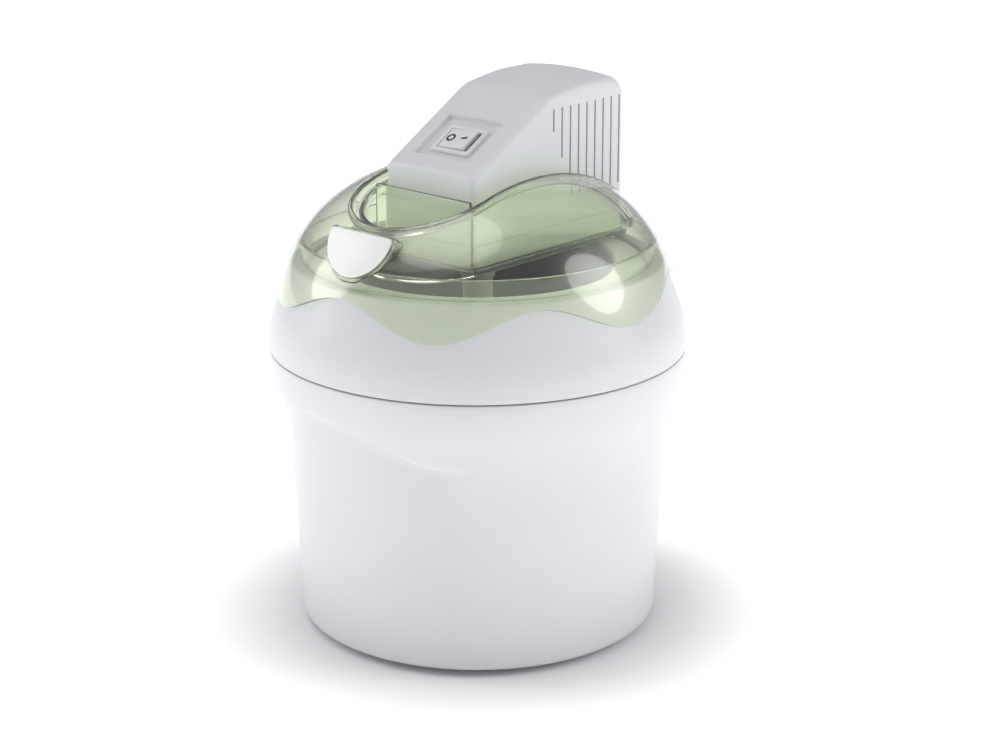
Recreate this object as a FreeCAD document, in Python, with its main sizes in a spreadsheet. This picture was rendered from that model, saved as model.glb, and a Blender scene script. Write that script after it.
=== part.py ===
"""Ice cream maker with a freezer bowl, a translucent lid and a lift-off power unit.

Frame: millimetres, +Z up, +X to the right, front towards -Y.
The origin is at the centre of the base, on the surface it stands on.
"""
import FreeCAD, Part
import math
import os
import re
import Sketcher
from FreeCAD import Placement, Rotation, Vector

doc = FreeCAD.newDocument("IceCreamMaker")

# ---------------------------------------------------------------- sizes
# Driving sizes: name, value, what it is
driving_sizes = [
    ("seam_radius", 104.9, "casing and collar at the seam"),
    ("seam_height", 144.6, "middle of the seam"),
    ("seam_gap", 0.8, "open gap of the seam"),
    ("foot_height", 3.0, "rubber feet under the casing"),
    ("foot_radius", 8.0, "rubber feet"),
    ("foot_inset", 19.0, "foot centres in from the casing's edge"),
    ("foot_peg_radius", 3.0, "peg of a foot in the casing floor"),
    ("base_inset", 13.8, "casing at the bottom, in from the seam"),
    ("base_round", 4.0, "bottom edge of the casing"),
    ("waist_inset", 10.3, "where the flare starts, in from the seam"),
    ("waist_drop", 60.6, "where the flare starts, below the seam"),
    ("flare_inset", 3.6, "where the flare turns convex, in from the seam"),
    ("flare_drop", 22.6, "where the flare turns convex, below the seam"),
    ("waist_arc", 144.0, "hollow part of the flare"),
    ("flare_arc", 74.1, "round part of the flare"),
    ("casing_wall", 2.5, "lower casing"),
    ("casing_floor", 3.0, "lower casing"),
    ("seat_height", 20.0, "bowl seat ring above the casing floor"),
    ("seat_wall", 3.0, "bowl seat ring"),
    ("rib_count", 6, "ribs between the seat ring and the casing wall"),
    ("grip_arc", 92.0, "round top of the hand grips' arch"),
    ("grip_drop", 19.1, "crown of that arch, below the seam"),
    ("grip_arc_reach", 42.0, "half width of its round top"),
    ("grip_shoulder_arc", 56.0, "hollow shoulders of the arch"),
    ("grip_shoulder_drop", 35.3, "outer ends of the shoulders, below the seam"),
    ("grip_reach", 72.0, "outer ends of the shoulders, from the arch's middle"),
    ("grip_spread", 4.0, "foot of the arch, out from the shoulders"),
    ("grip_tail", 4.0, "foot of the arch, above the waist"),
    ("grip_cover", 1.5, "height over the arch where the wall behind starts to widen"),
    ("front_grip_turn", -7.0, "front grip around the axis from the front, degrees"),
    ("shoulder_inset", 3.2, "collar shoulder, in from the seam"),
    ("shoulder_rise", 20.9, "collar shoulder, above the seam"),
    ("shoulder_arc", 58.0, "collar below the shoulder"),
    ("collar_inset", 12.3, "collar top edge, in from the seam"),
    ("collar_rise", 44.9, "collar top edge, above the seam"),
    ("collar_wall", 2.6, "collar"),
    ("opening_inset", 20.9, "collar opening, in from the seam"),
    ("lip_depth", 6.5, "turned-down lip around the collar opening"),
    ("skirt_depth", 7.0, "collar skirt inside the casing"),
    ("skirt_wall", 2.4, "collar skirt inside the casing"),
    ("snap_gap", 0.2, "collar skirt to casing"),
    ("bowl_clearance", 1.4, "bowl rim to collar opening"),
    ("bowl_thickness", 15.6, "double wall of the freezer bowl at the rim"),
    ("bowl_rim_height", 7.0, "rim ring of the bowl"),
    ("bowl_rim_drop", 1.5, "rim ring below the collar top"),
    ("shell_wall", 2.0, "outer wall of the bowl"),
    ("liner_wall", 1.5, "aluminium liner"),
    ("bowl_draft", 5.0, "how much narrower the bowl is at its foot"),
    ("bowl_floor", 13.0, "double floor of the bowl"),
    ("bowl_round", 12.0, "corner of the liner floor"),
    ("pivot_radius", 5.0, "pivot boss in the liner floor"),
    ("pivot_height", 10.0, "pivot boss in the liner floor"),
    ("cell_gap", 0.3, "coolant to the walls around it"),
    ("plug_radius", 6.0, "filling plug"),
    ("plug_offset", 40.0, "filling plug from the axis"),
    ("lid_wall", 2.0, "lid"),
    ("lid_shoulder_inset", 5.5, "lid shoulder, in from the seam"),
    ("lid_shoulder_rise", 35.4, "lid shoulder, above the seam"),
    ("lid_crown_inset", 29.1, "lid crown, in from the seam"),
    ("lid_crown_rise", 70.4, "lid crown, above the seam"),
    ("lid_top_rise", 91.3, "lid apex, above the seam"),
    ("lid_low_arc", 114.1, "lid below its shoulder"),
    ("lid_mid_arc", 75.96, "lid from shoulder to crown"),
    ("lid_top_arc", 94.9, "lid from crown to apex"),
    ("lid_shoulder_tilt", 17.86, "lean of the lid wall at the shoulder, degrees"),
    ("lid_crown_tilt", 50.1, "lean of the lid wall at the crown, degrees"),
    ("wave_rise", 35.2, "middle of the lid's wavy edge, above the seam"),
    ("wave_depth", 7.2, "half the height of the waves"),
    ("wave_count", 6, "waves around the lid"),
    ("rest_rib_wall", 2.0, "rib that the lid stands on"),
    ("rest_rib_outset", 1.6, "rib outside the collar opening"),
    ("chute_radius", 37.0, "round front of the refill opening"),
    ("chute_centre", 35.0, "centre of that round, in front of the axis"),
    ("well_half_width", 31.6, "motor well, inside"),
    ("well_wall", 2.0, "walls and floor of the well"),
    ("well_front", 38.0, "front wall of the well, in front of the axis"),
    ("well_rear", 81.0, "rear wall of the well, behind the axis"),
    ("well_rim_step", 5.0, "depth of the step around the rim of the well"),
    ("well_corner", 6.0, "upright corners of the well"),
    ("shaft_hole_radius", 9.0, "hole in the well floor"),
    ("plate_half_width", 20.0, "front plate"),
    ("plate_length", 23.0, "front plate"),
    ("plate_thickness", 2.0, "front plate"),
    ("plate_corner", 4.0, "upper corners of the front plate"),
    ("plate_side_arc", 26.45, "rounded lower sides of the front plate"),
    ("plate_reach", 80.0, "top edge of the front plate, in front of the axis"),
    ("plate_rise", 71.2, "top edge of the front plate, above the seam"),
    ("plate_lean", 59.0, "front plate from level, degrees"),
    ("plate_margin", 1.0, "boss around the front plate"),
    ("cover_half_width", 29.6, "motor cover"),
    ("cover_front", 35.0, "motor cover, in front of the axis"),
    ("cover_rear", 78.0, "motor cover, behind the axis"),
    ("cover_wall", 2.4, "motor cover"),
    ("cover_split", 11.0, "parting line above the deck"),
    ("nose_rise", 44.8, "top of the cover's front face above the deck"),
    ("brow_reach", 20.0, "end of the sloping top, behind the axis"),
    ("brow_rise", 75.5, "end of the sloping top above the deck"),
    ("top_reach", 46.0, "start of the level top, behind the axis"),
    ("top_rise", 81.0, "level top above the deck"),
    ("cover_round", 6.5, "edges of the cover"),
    ("vent_count", 9, "vent slots on each side"),
    ("vent_pitch", 6.34, "vent slots"),
    ("vent_width", 1.2, "vent slots"),
    ("vent_start", 23.2, "first vent slot, behind the axis"),
    ("vent_top", 69.5, "upper end of the vent slots above the deck"),
    ("vent_bottom", 24.0, "lower end of the vent slots above the deck"),
    ("vent_first_length", 11.5, "shortest vent slot"),
    ("vent_second_length", 25.5, "second vent slot"),
    ("wall_gap", 0.3, "clearance between neighbouring mouldings"),
    ("base_floor", 2.5, "floor of the motor base"),
    ("boss_radius", 3.6, "screw bosses"),
    ("screw_radius", 1.5, "screws"),
    ("screw_head_radius", 2.7, "screw heads"),
    ("bore_gap", 0.1, "screw and pin clearance on the radius"),
    ("running_gap", 0.05, "running clearance on the radius"),
    ("drive_module", 1.0, "output gear pair"),
    ("train_module", 0.8, "first and second gear pairs"),
    ("pinion_teeth", 12, "all three pinions"),
    ("train_teeth", 34, "large wheels of the compound gears"),
    ("output_teeth", 44, "output gear"),
    ("output_level", 5.0, "underside of the output gear above the deck"),
    ("output_face", 6.0, "face width of the output gear"),
    ("train_face", 4.0, "face width of the train gears"),
    ("gear_pin_radius", 1.5, "gear pins"),
    ("can_clearance", 2.4, "motor can to the rear wall of the cover"),
    ("plate_level", 26.0, "underside of the gear plate above the deck"),
    ("gear_plate_thickness", 1.5, "gear plate"),
    ("gear_plate_gap", 1.7, "gear plate to the side walls of the housing"),
    ("gear_plate_front", 22.0, "gear plate, in front of the axis"),
    ("gear_plate_overhang", 10.0, "gear plate behind the motor axis"),
    ("post_radius", 2.8, "posts under the gear plate"),
    ("post_inset", 6.2, "posts in from the side walls of the housing"),
    ("front_post_reach", 18.0, "front posts, in front of the axis"),
    ("rear_post_offset", 7.0, "right rear post, behind the motor axis"),
    ("rear_post_shift", 1.5, "right rear post, further out than the others"),
    ("small_screw_radius", 1.1, "screws of the gear plate"),
    ("can_radius", 15.2, "motor can"),
    ("can_height", 34.0, "motor can"),
    ("can_wall", 1.4, "motor can"),
    ("magnet_thickness", 3.2, "motor magnets"),
    ("air_gap", 0.4, "magnets to armature"),
    ("shaft_radius", 1.6, "motor shaft"),
    ("drive_radius", 5.0, "drive shaft"),
    ("drive_square", 7.0, "square end of the drive shaft"),
    ("drive_square_length", 16.0, "square end of the drive shaft"),
    ("socket_gap", 0.1, "socket of the paddle around the square"),
    ("bush_wall", 2.0, "bushes"),
    ("hub_radius", 7.5, "paddle hub"),
    ("hub_drop", 3.5, "top of the hub below the deck"),
    ("blade_gap", 2.0, "paddle to the bowl liner"),
    ("blade_thickness", 2.4, "paddle arms and blades"),
    ("blade_width", 9.0, "upright blades"),
    ("paddle_lift", 4.0, "paddle above the liner floor"),
    ("hub_ring_wall", 1.2, "step ring of the hub"),
    ("hub_ring_height", 4.0, "step ring of the hub"),
    ("hub_ring_drop", 12.0, "underside of that ring below the hub's top"),
    ("foot_arm_height", 12.0, "lower arms of the paddle"),
    ("upper_arm_height", 8.0, "upper arms of the paddle"),
    ("upper_arm_drop", 20.0, "underside of the upper arms below the top of the blades"),
    ("blade_top_drop", 48.0, "top of the blades below the deck"),
    ("rocker_length", 19.0, "rocker across the cover"),
    ("rocker_width", 13.0, "rocker up the slope"),
    ("rocker_pin_radius", 1.0, "pin that the rocker turns on"),
    ("recess_length", 35.0, "switch recess across the cover"),
    ("recess_width", 29.0, "switch recess up the slope"),
    ("recess_depth", 3.0, "switch recess"),
    ("recess_up", 24.5, "middle of the recess, up the slope from the nose"),
    ("rocker_tilt", 8.0, "rocker lean to either side, degrees"),
    ("gland_radius", 6.0, "cord gland"),
    ("gland_level", 34.0, "cord gland above the deck"),
    ("cord_radius", 3.2, "hole through the cord gland"),
    ("gland_flange", 1.6, "flange of the cord gland"),
    ("board_length", 40.0, "rectifier board"),
    ("board_width", 30.0, "rectifier board"),
    ("board_thickness", 1.6, "rectifier board"),
    ("board_middle", 24.0, "middle of the board, behind the axis"),
    ("standoff_height", 3.0, "standoffs of the board"),
    ("standoff_radius", 2.0, "standoffs of the board"),
    ("standoff_inset", 5.0, "standoffs in from the board's ends"),
    ("standoff_side_inset", 3.0, "standoffs in from the board's sides"),
]

# Worked-out sizes: name, formula
derived_sizes = [
    ("base_radius", "seam_radius - base_inset"),
    ("waist_radius", "seam_radius - waist_inset"),
    ("waist_height", "seam_height - waist_drop"),
    ("flare_radius", "seam_radius - flare_inset"),
    ("flare_height", "seam_height - flare_drop"),
    ("casing_slope", "(waist_radius - base_radius) / (waist_height - foot_height - base_round)"),
    ("grip_crown", "seam_height - grip_drop"),
    ("grip_round_end", "grip_crown - grip_arc + sqrt(grip_arc ^ 2 - grip_arc_reach ^ 2)"),
    ("grip_backing", "grip_crown + grip_cover"),
    ("straight_radius", "waist_radius + casing_slope * (grip_backing - waist_height)"),
    ("casing_top", "seam_height - seam_gap / 2"),
    ("floor_top", "foot_height + casing_floor"),
    ("seat_top", "floor_top + seat_height"),
    ("collar_bottom", "seam_height + seam_gap / 2"),
    ("shoulder_radius", "seam_radius - shoulder_inset"),
    ("shoulder_height", "seam_height + shoulder_rise"),
    ("collar_radius", "seam_radius - collar_inset"),
    ("collar_top", "seam_height + collar_rise"),
    ("opening_radius", "seam_radius - opening_inset"),
    ("skirt_radius", "seam_radius - casing_wall - snap_gap - 0.8"),
    ("bowl_rim_radius", "opening_radius - bowl_clearance"),
    ("bowl_rim_top", "collar_top - bowl_rim_drop"),
    ("bowl_rim_bottom", "bowl_rim_top - bowl_rim_height"),
    ("liner_radius", "bowl_rim_radius - bowl_thickness"),
    ("liner_floor", "seat_top + bowl_floor"),
    ("deck_height", "collar_top + 4.5"),
    ("lid_shoulder_radius", "seam_radius - lid_shoulder_inset"),
    ("lid_shoulder_height", "seam_height + lid_shoulder_rise"),
    ("lid_crown_radius", "seam_radius - lid_crown_inset"),
    ("lid_crown_height", "seam_height + lid_crown_rise"),
    ("lid_top_height", "seam_height + lid_top_rise"),
    ("paddle_foot", "liner_floor + paddle_lift"),
    ("hub_top", "deck_height - hub_drop"),
    ("blade_reach", "liner_radius - bowl_draft - blade_gap"),
    ("blade_top", "deck_height - blade_top_drop"),
    ("base_top", "deck_height + cover_split"),
    ("gear_deck", "deck_height + base_floor"),
    ("plate_bottom", "deck_height + plate_level"),
    ("can_bottom", "plate_bottom + gear_plate_thickness"),
    ("rotor_reach", "cover_rear - cover_wall - can_radius - can_clearance"),
    ("housing_room", "cover_half_width - cover_wall"),
]

sheet = doc.addObject("Spreadsheet::Sheet", "Sizes")
aliases = [row[0] for row in driving_sizes] + [row[0] for row in derived_sizes]
alias_pattern = re.compile(r"(?<![\w.])(" + "|".join(sorted(aliases, key=len, reverse=True)) + r")(?!\w)")


def bind(text):
    """Turn a formula in plain size names into one that other objects can read."""
    return alias_pattern.sub(r"Sizes.\1", str(text))


for row, (name, value, note) in enumerate(driving_sizes, start=1):
    sheet.set(f"A{row}", name)
    sheet.set(f"B{row}", str(value))
    sheet.set(f"C{row}", note)
    sheet.setAlias(f"B{row}", name)
for row, (name, formula) in enumerate(derived_sizes, start=len(driving_sizes) + 1):
    sheet.set(f"A{row}", name)
    sheet.setAlias(f"B{row}", name)
    sheet.set(f"B{row}", "=" + formula)
doc.recompute()


def size(text):
    """Value of a formula in size names."""
    value = sheet.evalExpression(bind(text))
    return float(getattr(value, "Value", value))


# ---------------------------------------------------------------- helpers
pieces = []


def keep(feature, label):
    """Name a finished piece; its label names its file."""
    feature.Label = label
    pieces.append(feature)
    return feature


def set_formula(feature, target, text):
    feature.setExpression(target, bind(text))


def outline_sketch(owner, plane, points, name, level=None):
    """Closed outline; each point is (x, y) or (x, y, radius of the arc to the next point).

    All coordinates and radii are formulas. A positive radius bulges to the right of the path.
    """
    sketch = owner.newObject("Sketcher::SketchObject", name) if owner else doc.addObject(
        "Sketcher::SketchObject", name)
    if owner:
        origin_plane = [item for item in owner.Origin.OriginFeatures if item.Role == plane][0]
        sketch.AttachmentSupport = [(origin_plane, "")]
        sketch.MapMode = "FlatFace"
    elif plane == "XZ_Plane":
        sketch.Placement = Placement(Vector(0, 0, 0), Rotation(Vector(1, 0, 0), 90))
    elif plane == "YZ_Plane":
        sketch.Placement = Placement(Vector(0, 0, 0), Rotation(Vector(1, 1, 1), 120))
    if level is not None:
        target = ".AttachmentOffset.Base.z" if owner else ".Placement.Base.z"
        set_formula(sketch, target, level)
    corners = [Vector(size(point[0]), size(point[1]), 0) for point in points]
    count = len(points)
    for index, point in enumerate(points):
        start = corners[index]
        end = corners[(index + 1) % count]
        if len(point) < 3:
            sketch.addGeometry(Part.LineSegment(start, end))
            continue
        radius = size(point[2])
        chord = end - start
        half = chord.Length / 2
        sagitta = abs(radius) - math.sqrt(radius ** 2 - half ** 2)
        side = Vector(chord.y, -chord.x, 0).normalize() * math.copysign(sagitta, radius)
        middle = (start + end) * 0.5 + side
        sketch.addGeometry(Part.Arc(start, middle, end))
    # an arc that runs clockwise is stored with its ends swapped
    for index, point in enumerate(points):
        clockwise = len(point) == 3 and size(point[2]) < 0
        first, last = (2, 1) if clockwise else (1, 2)
        following = (index + 1) % count
        next_clockwise = len(points[following]) == 3 and size(points[following][2]) < 0
        sketch.addConstraint(Sketcher.Constraint(
            "Coincident", index, last, following, 2 if next_clockwise else 1))
        for kind, text in (("DistanceX", point[0]), ("DistanceY", point[1])):
            number = sketch.addConstraint(Sketcher.Constraint(
                kind, -1, 1, index, first, size(text)))
            set_formula(sketch, f"Constraints[{number}]", text)
        if len(point) == 3:
            number = sketch.addConstraint(Sketcher.Constraint("Radius", index, abs(size(point[2]))))
            set_formula(sketch, f"Constraints[{number}]", f"abs({point[2]})")
    return sketch


def new_body(name):
    return doc.addObject("PartDesign::Body", name)


def revolve(body, points, name="Turned"):
    """Turn an outline of (radius, height) points about the Z axis."""
    sketch = outline_sketch(body, "XZ_Plane", points, name + "Outline")
    feature = body.newObject("PartDesign::Revolution", name)
    feature.Profile = sketch
    feature.ReferenceAxis = (sketch, ["V_Axis"])
    feature.Angle = 360
    return feature


def turned_piece(label, points):
    body = new_body(label + "_body")
    revolve(body, points)
    return keep(body, label)


def pad(body, plane, points, length, name, cut=False):
    """Pad or pocket of an outline, to both sides of its plane."""
    sketch = outline_sketch(body, plane, points, name + "Outline")
    feature = body.newObject("PartDesign::Pocket" if cut else "PartDesign::Pad", name)
    feature.Profile = sketch
    set_formula(feature, "Length", length)
    feature.Midplane = True
    return feature


def cylinder(name, radius, height, x="0", y="0", z="0"):
    feature = doc.addObject("Part::Cylinder", name)
    set_formula(feature, "Radius", radius)
    set_formula(feature, "Height", height)
    for axis, text in zip("xyz", (x, y, z)):
        set_formula(feature, f".Placement.Base.{axis}", text)
    return feature


def box(name, length, width, height, x="0", y="0", z="0"):
    """Box of the given size, centred on x and y and standing on z."""
    feature = doc.addObject("Part::Box", name)
    for side, text in (("Length", length), ("Width", width), ("Height", height)):
        set_formula(feature, side, text)
    set_formula(feature, ".Placement.Base.x", f"{x} - ({length}) / 2")
    set_formula(feature, ".Placement.Base.y", f"{y} - ({width}) / 2")
    set_formula(feature, ".Placement.Base.z", z)
    return feature


def solid_of_turn(name, points):
    """Full turn of an outline, for use in booleans."""
    sketch = outline_sketch(None, "XZ_Plane", points, name + "Outline")
    feature = doc.addObject("Part::Revolution", name)
    feature.Source = sketch
    feature.Axis = Vector(0, 0, 1)
    feature.Angle = 360
    feature.Solid = True
    return feature


def prism(name, points, height, level="0"):
    """Upright prism of a plan outline, for use in booleans."""
    sketch = outline_sketch(None, "XY_Plane", points, name + "Outline", level)
    feature = doc.addObject("Part::Extrusion", name)
    feature.Base = sketch
    feature.DirMode = "Custom"
    feature.Dir = Vector(0, 0, 1)
    feature.Solid = True
    set_formula(feature, "LengthFwd", height)
    return feature


def fuse(name, shapes):
    feature = doc.addObject("Part::MultiFuse", name)
    feature.Shapes = shapes
    return feature


def group(name, shapes):
    feature = doc.addObject("Part::Compound", name)
    feature.Links = shapes
    return feature


def cut(name, base, tool):
    feature = doc.addObject("Part::Cut", name)
    feature.Base = base
    feature.Tool = fuse(name + "Tools", tool) if isinstance(tool, list) else tool
    return feature


def common(name, first, second):
    feature = doc.addObject("Part::MultiCommon", name)
    feature.Shapes = [first, second]
    return feature


def shape_piece(name, shape):
    feature = doc.addObject("Part::Feature", name)
    feature.Shape = shape
    return feature


# ---------------------------------------------------------------- base
def make_lower_casing():
    outline = [
        ("0", "foot_height"),
        ("base_radius - base_round", "foot_height", "base_round"),
        ("base_radius", "foot_height + base_round"),
        ("waist_radius", "waist_height", "0 - waist_arc"),
        ("flare_radius", "flare_height", "flare_arc"),
        ("seam_radius", "casing_top"),
        ("seam_radius - casing_wall", "casing_top"),
        ("seam_radius - casing_wall", "casing_top - skirt_depth - 1.5"),
        ("straight_radius - casing_wall", "grip_backing"),
        ("waist_radius - casing_wall", "waist_height"),
        ("base_radius - casing_wall", "floor_top"),
        ("0", "floor_top"),
    ]
    cup = solid_of_turn("CasingCup", outline)
    seat_radius = "bowl_rim_radius - bowl_draft - 6"
    seat = cut("SeatRing",
               cylinder("SeatOuter", seat_radius, "seat_height + 0.5", z="floor_top - 0.5"),
               cylinder("SeatInner", f"{seat_radius} - seat_wall", "seat_height + 1", z="floor_top - 0.5"))
    ribs = []
    rib_count = int(size("rib_count"))
    for index in range(rib_count):
        rib = doc.addObject("Part::Box", f"SeatRib{index}")
        set_formula(rib, "Length", f"base_radius - casing_wall + 0.5 - ({seat_radius}) + 1")
        set_formula(rib, "Width", "seat_wall")
        set_formula(rib, "Height", "seat_height + 0.5")
        angle = math.radians(360 / rib_count * (index + 0.5))
        start = f"({seat_radius} - 1)"
        set_formula(rib, ".Placement.Base.x",
                    f"{start} * {math.cos(angle):.9f} + seat_wall / 2 * {math.sin(angle):.9f}")
        set_formula(rib, ".Placement.Base.y",
                    f"{start} * {math.sin(angle):.9f} - seat_wall / 2 * {math.cos(angle):.9f}")
        set_formula(rib, ".Placement.Base.z", "floor_top - 0.5")
        rib.Placement.Rotation = Rotation(Vector(0, 0, 1), math.degrees(angle))
        ribs.append(rib)
    walls = fuse("CasingWalls", [cup, seat] + ribs)
    # arched hand grips, front and back: the flare is cut back to the line of the waist
    straight = cut("GripRing",
                   cylinder("GripOuter", "seam_radius + 10", "waist_drop", z="waist_height"),
                   make_waist_cone())
    arches = []
    for index in range(2):
        angle = size("front_grip_turn") + 180 * index
        foot = ("grip_reach + grip_spread", "waist_height + grip_tail")
        shoulder = ("grip_reach", "seam_height - grip_shoulder_drop")
        round_end = ("grip_arc_reach", "grip_round_end")
        arch = outline_sketch(None, "XZ_Plane", [
            foot,
            shoulder + ("0 - grip_shoulder_arc",),
            round_end + ("grip_arc",),
            (f"0 - {round_end[0]}", round_end[1], "0 - grip_shoulder_arc"),
            (f"0 - {shoulder[0]}", shoulder[1]),
            (f"0 - ({foot[0]})", foot[1]),
        ], f"GripArch{index}Outline")
        window = doc.addObject("Part::Extrusion", f"GripArch{index}")
        window.Base = arch
        window.DirMode = "Custom"
        window.Dir = Vector(0, -1, 0)
        window.Solid = True
        set_formula(window, "LengthFwd", "seam_radius + 20")
        window.Placement = Placement(Vector(0, 0, 0), Rotation(Vector(0, 0, 1), angle))
        arches.append(window)
    grips = common("GripCuts", straight, fuse("GripArches", arches))
    pegs = [foot_cylinder(index, "PegHole", "foot_peg_radius + bore_gap", "casing_floor + 2", "foot_height - 1")
            for index in range(4)]
    keep(cut("LowerCasing", walls, [grips] + pegs), "lower_casing")


def make_waist_cone():
    """The casing's straight taper, carried on past the waist."""
    cone = doc.addObject("Part::Cone", "WaistCone")
    set_formula(cone, "Radius1", "waist_radius")
    set_formula(cone, "Radius2", "waist_radius + casing_slope * waist_drop")
    set_formula(cone, "Height", "waist_drop")
    set_formula(cone, ".Placement.Base.z", "waist_height")
    return cone


def foot_cylinder(index, name, radius, height, level):
    angle = math.radians(45 + 90 * index)
    reach = "(base_radius - foot_inset)"
    return cylinder(f"{name}{index}", radius, height,
                    f"{reach} * {math.cos(angle):.9f}", f"{reach} * {math.sin(angle):.9f}", level)


def make_feet():
    feet = []
    for index in range(4):
        pad_part = foot_cylinder(index, "FootPad", "foot_radius", "foot_height", "0")
        peg = foot_cylinder(index, "FootPeg", "foot_peg_radius", "casing_floor + 1", "foot_height - 0.5")
        feet.append(fuse(f"Foot{index}", [pad_part, peg]))
    keep(group("Feet", feet), "feet")


def make_collar():
    outline = [
        ("seam_radius", "collar_bottom"),
        ("seam_radius", "collar_bottom + 1.5", "shoulder_arc"),
        ("shoulder_radius", "shoulder_height"),
        ("collar_radius", "collar_top"),
        ("opening_radius", "collar_top"),
        ("opening_radius", "collar_top - lip_depth"),
        ("opening_radius + collar_wall", "collar_top - lip_depth"),
        ("opening_radius + collar_wall", "collar_top - collar_wall"),
        ("collar_radius - collar_wall", "collar_top - collar_wall"),
        ("shoulder_radius - collar_wall", "shoulder_height", "0 - shoulder_arc"),
        ("skirt_radius - skirt_wall", "collar_bottom + 3"),
        ("skirt_radius - skirt_wall", "collar_bottom - skirt_depth"),
        ("skirt_radius", "collar_bottom - skirt_depth"),
        ("skirt_radius", "collar_bottom"),
    ]
    turned_piece("collar", outline)


# ---------------------------------------------------------------- freezer bowl
def make_bowl():
    rim = "bowl_rim_bottom"
    foot = "bowl_rim_radius - bowl_draft"
    shell = new_body("bowl_shell_body")
    revolve(shell, [
        ("0", "seat_top"),
        (f"{foot} - 6", "seat_top", "6"),
        (f"{foot}", "seat_top + 6"),
        ("bowl_rim_radius - 0.6", rim),
        ("bowl_rim_radius - 0.6 - shell_wall", rim),
        (f"{foot} - shell_wall", "seat_top + 6", "0 - 4"),
        (f"{foot} - 6", "seat_top + shell_wall"),
        ("0", "seat_top + shell_wall"),
    ])
    liner_foot = "liner_radius - bowl_draft"
    turned_piece("bowl_liner", [
        ("0", "liner_floor - liner_wall"),
        (f"{liner_foot} - bowl_round", "liner_floor - liner_wall", "bowl_round + liner_wall"),
        (f"{liner_foot} + liner_wall", "liner_floor + bowl_round"),
        ("liner_radius + liner_wall", f"{rim} - 1"),
        ("liner_radius + 6", f"{rim} - 1"),
        ("liner_radius + 6", f"{rim} + 0.5"),
        ("liner_radius", f"{rim} + 0.5"),
        (f"{liner_foot}", "liner_floor + bowl_round", "0 - bowl_round"),
        (f"{liner_foot} - bowl_round", "liner_floor"),
        ("pivot_radius", "liner_floor"),
        ("pivot_radius - 1", "liner_floor + pivot_height", "1"),
        ("pivot_radius - 2", "liner_floor + pivot_height + 1"),
        ("0", "liner_floor + pivot_height + 1"),
    ])
    turned_piece("coolant_fill", [
        ("0", "seat_top + shell_wall + cell_gap"),
        (f"{foot} - shell_wall - 6", "seat_top + shell_wall + cell_gap"),
        (f"{foot} - shell_wall - cell_gap", "seat_top + shell_wall + 8"),
        ("bowl_rim_radius - 0.6 - shell_wall - cell_gap", f"{rim} - 8"),
        ("liner_radius + liner_wall + cell_gap", f"{rim} - 8"),
        (f"{liner_foot} + liner_wall + cell_gap", "liner_floor + bowl_round"),
        (f"{liner_foot} + liner_wall - 1", "liner_floor + bowl_round / 4 - 2"),
        (f"{liner_foot} - bowl_round + 2", "liner_floor - liner_wall - cell_gap - 0.5"),
        ("0", "liner_floor - liner_wall - cell_gap - 0.5"),
    ])
    turned_piece("bowl_rim_ring", [
        ("liner_radius", f"{rim} + 0.8"),
        ("liner_radius + 6.5", f"{rim} + 0.8"),
        ("liner_radius + 6.5", f"{rim} - 3"),
        ("bowl_rim_radius - 0.9 - shell_wall", f"{rim} - 3"),
        ("bowl_rim_radius - 0.9 - shell_wall", f"{rim}"),
        ("bowl_rim_radius", f"{rim}"),
        ("bowl_rim_radius", "bowl_rim_top - 2", "2"),
        ("bowl_rim_radius - 2", "bowl_rim_top"),
        ("liner_radius + 3", "bowl_rim_top", "3"),
        ("liner_radius", "bowl_rim_top - 3"),
    ])
    plug = fuse("PlugParts", [
        cylinder("PlugBody", "plug_radius - 1.5", "shell_wall + 0.5", "0 - plug_offset", "0", "seat_top - 0.5"),
        cylinder("PlugHead", "plug_radius", "1.5", "0 - plug_offset", "0", "seat_top - 1.5"),
    ])
    keep(plug, "filling_plug")
    plug_hole = cylinder("PlugHole", "plug_radius - 1.5", "shell_wall + 4",
                         "0 - plug_offset", "0", "seat_top - 2")
    keep(cut("DrilledBowlShell", shell, plug_hole), "bowl_shell")


# ---------------------------------------------------------------- lid
def lid_point(radius, height, tilt, inset):
    """Point of the lid's outline, moved inwards by a distance square to the wall."""
    if inset == "0":
        return radius, height
    lean = math.radians(size(tilt)) if tilt else 0.0
    return (f"{radius} - ({inset}) * {math.cos(lean):.6f}", f"{height} - ({inset}) * {math.sin(lean):.6f}")


def dome(name, inset):
    """Everything under the lid's surface, moved inwards by inset."""
    low = (f"seam_radius - ({inset})", "seam_height")
    shoulder = lid_point("lid_shoulder_radius", "lid_shoulder_height", "lid_shoulder_tilt", inset)
    crown = lid_point("lid_crown_radius", "lid_crown_height", "lid_crown_tilt", inset)
    return solid_of_turn(name, [
        ("0", "seam_height"),
        low + (f"lid_low_arc - ({inset})",),
        shoulder + (f"lid_mid_arc - ({inset})",),
        crown + (f"lid_top_arc - ({inset})",),
        ("0", f"lid_top_height - ({inset})"),
    ])


def well_outline(grow, with_chute):
    """Plan of the motor well, larger by grow; with_chute adds the round refill opening in front."""
    half = f"(well_half_width + {grow})"
    corner = f"(well_corner + {grow})"
    rear = f"(well_rear + {grow})"
    front = f"(0 - well_front - {grow})"
    points = [
        (f"0 - {half}", f"{rear} - {corner}"),
        (f"0 - {half}", front),
        (half, front),
        (half, f"{rear} - {corner}", corner),
        (f"{half} - {corner}", rear),
        (f"{corner} - {half}", rear, corner),
    ]
    if with_chute:
        radius = f"(chute_radius + {grow})"
        points[1] = (f"0 - {half}", "0 - chute_centre", f"{radius} + 0.6")
        points[2] = (half, "0 - chute_centre")
        points.insert(2, ("0", f"0 - chute_centre - {radius} + 1.0", f"{radius} + 0.6"))
    return points


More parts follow.
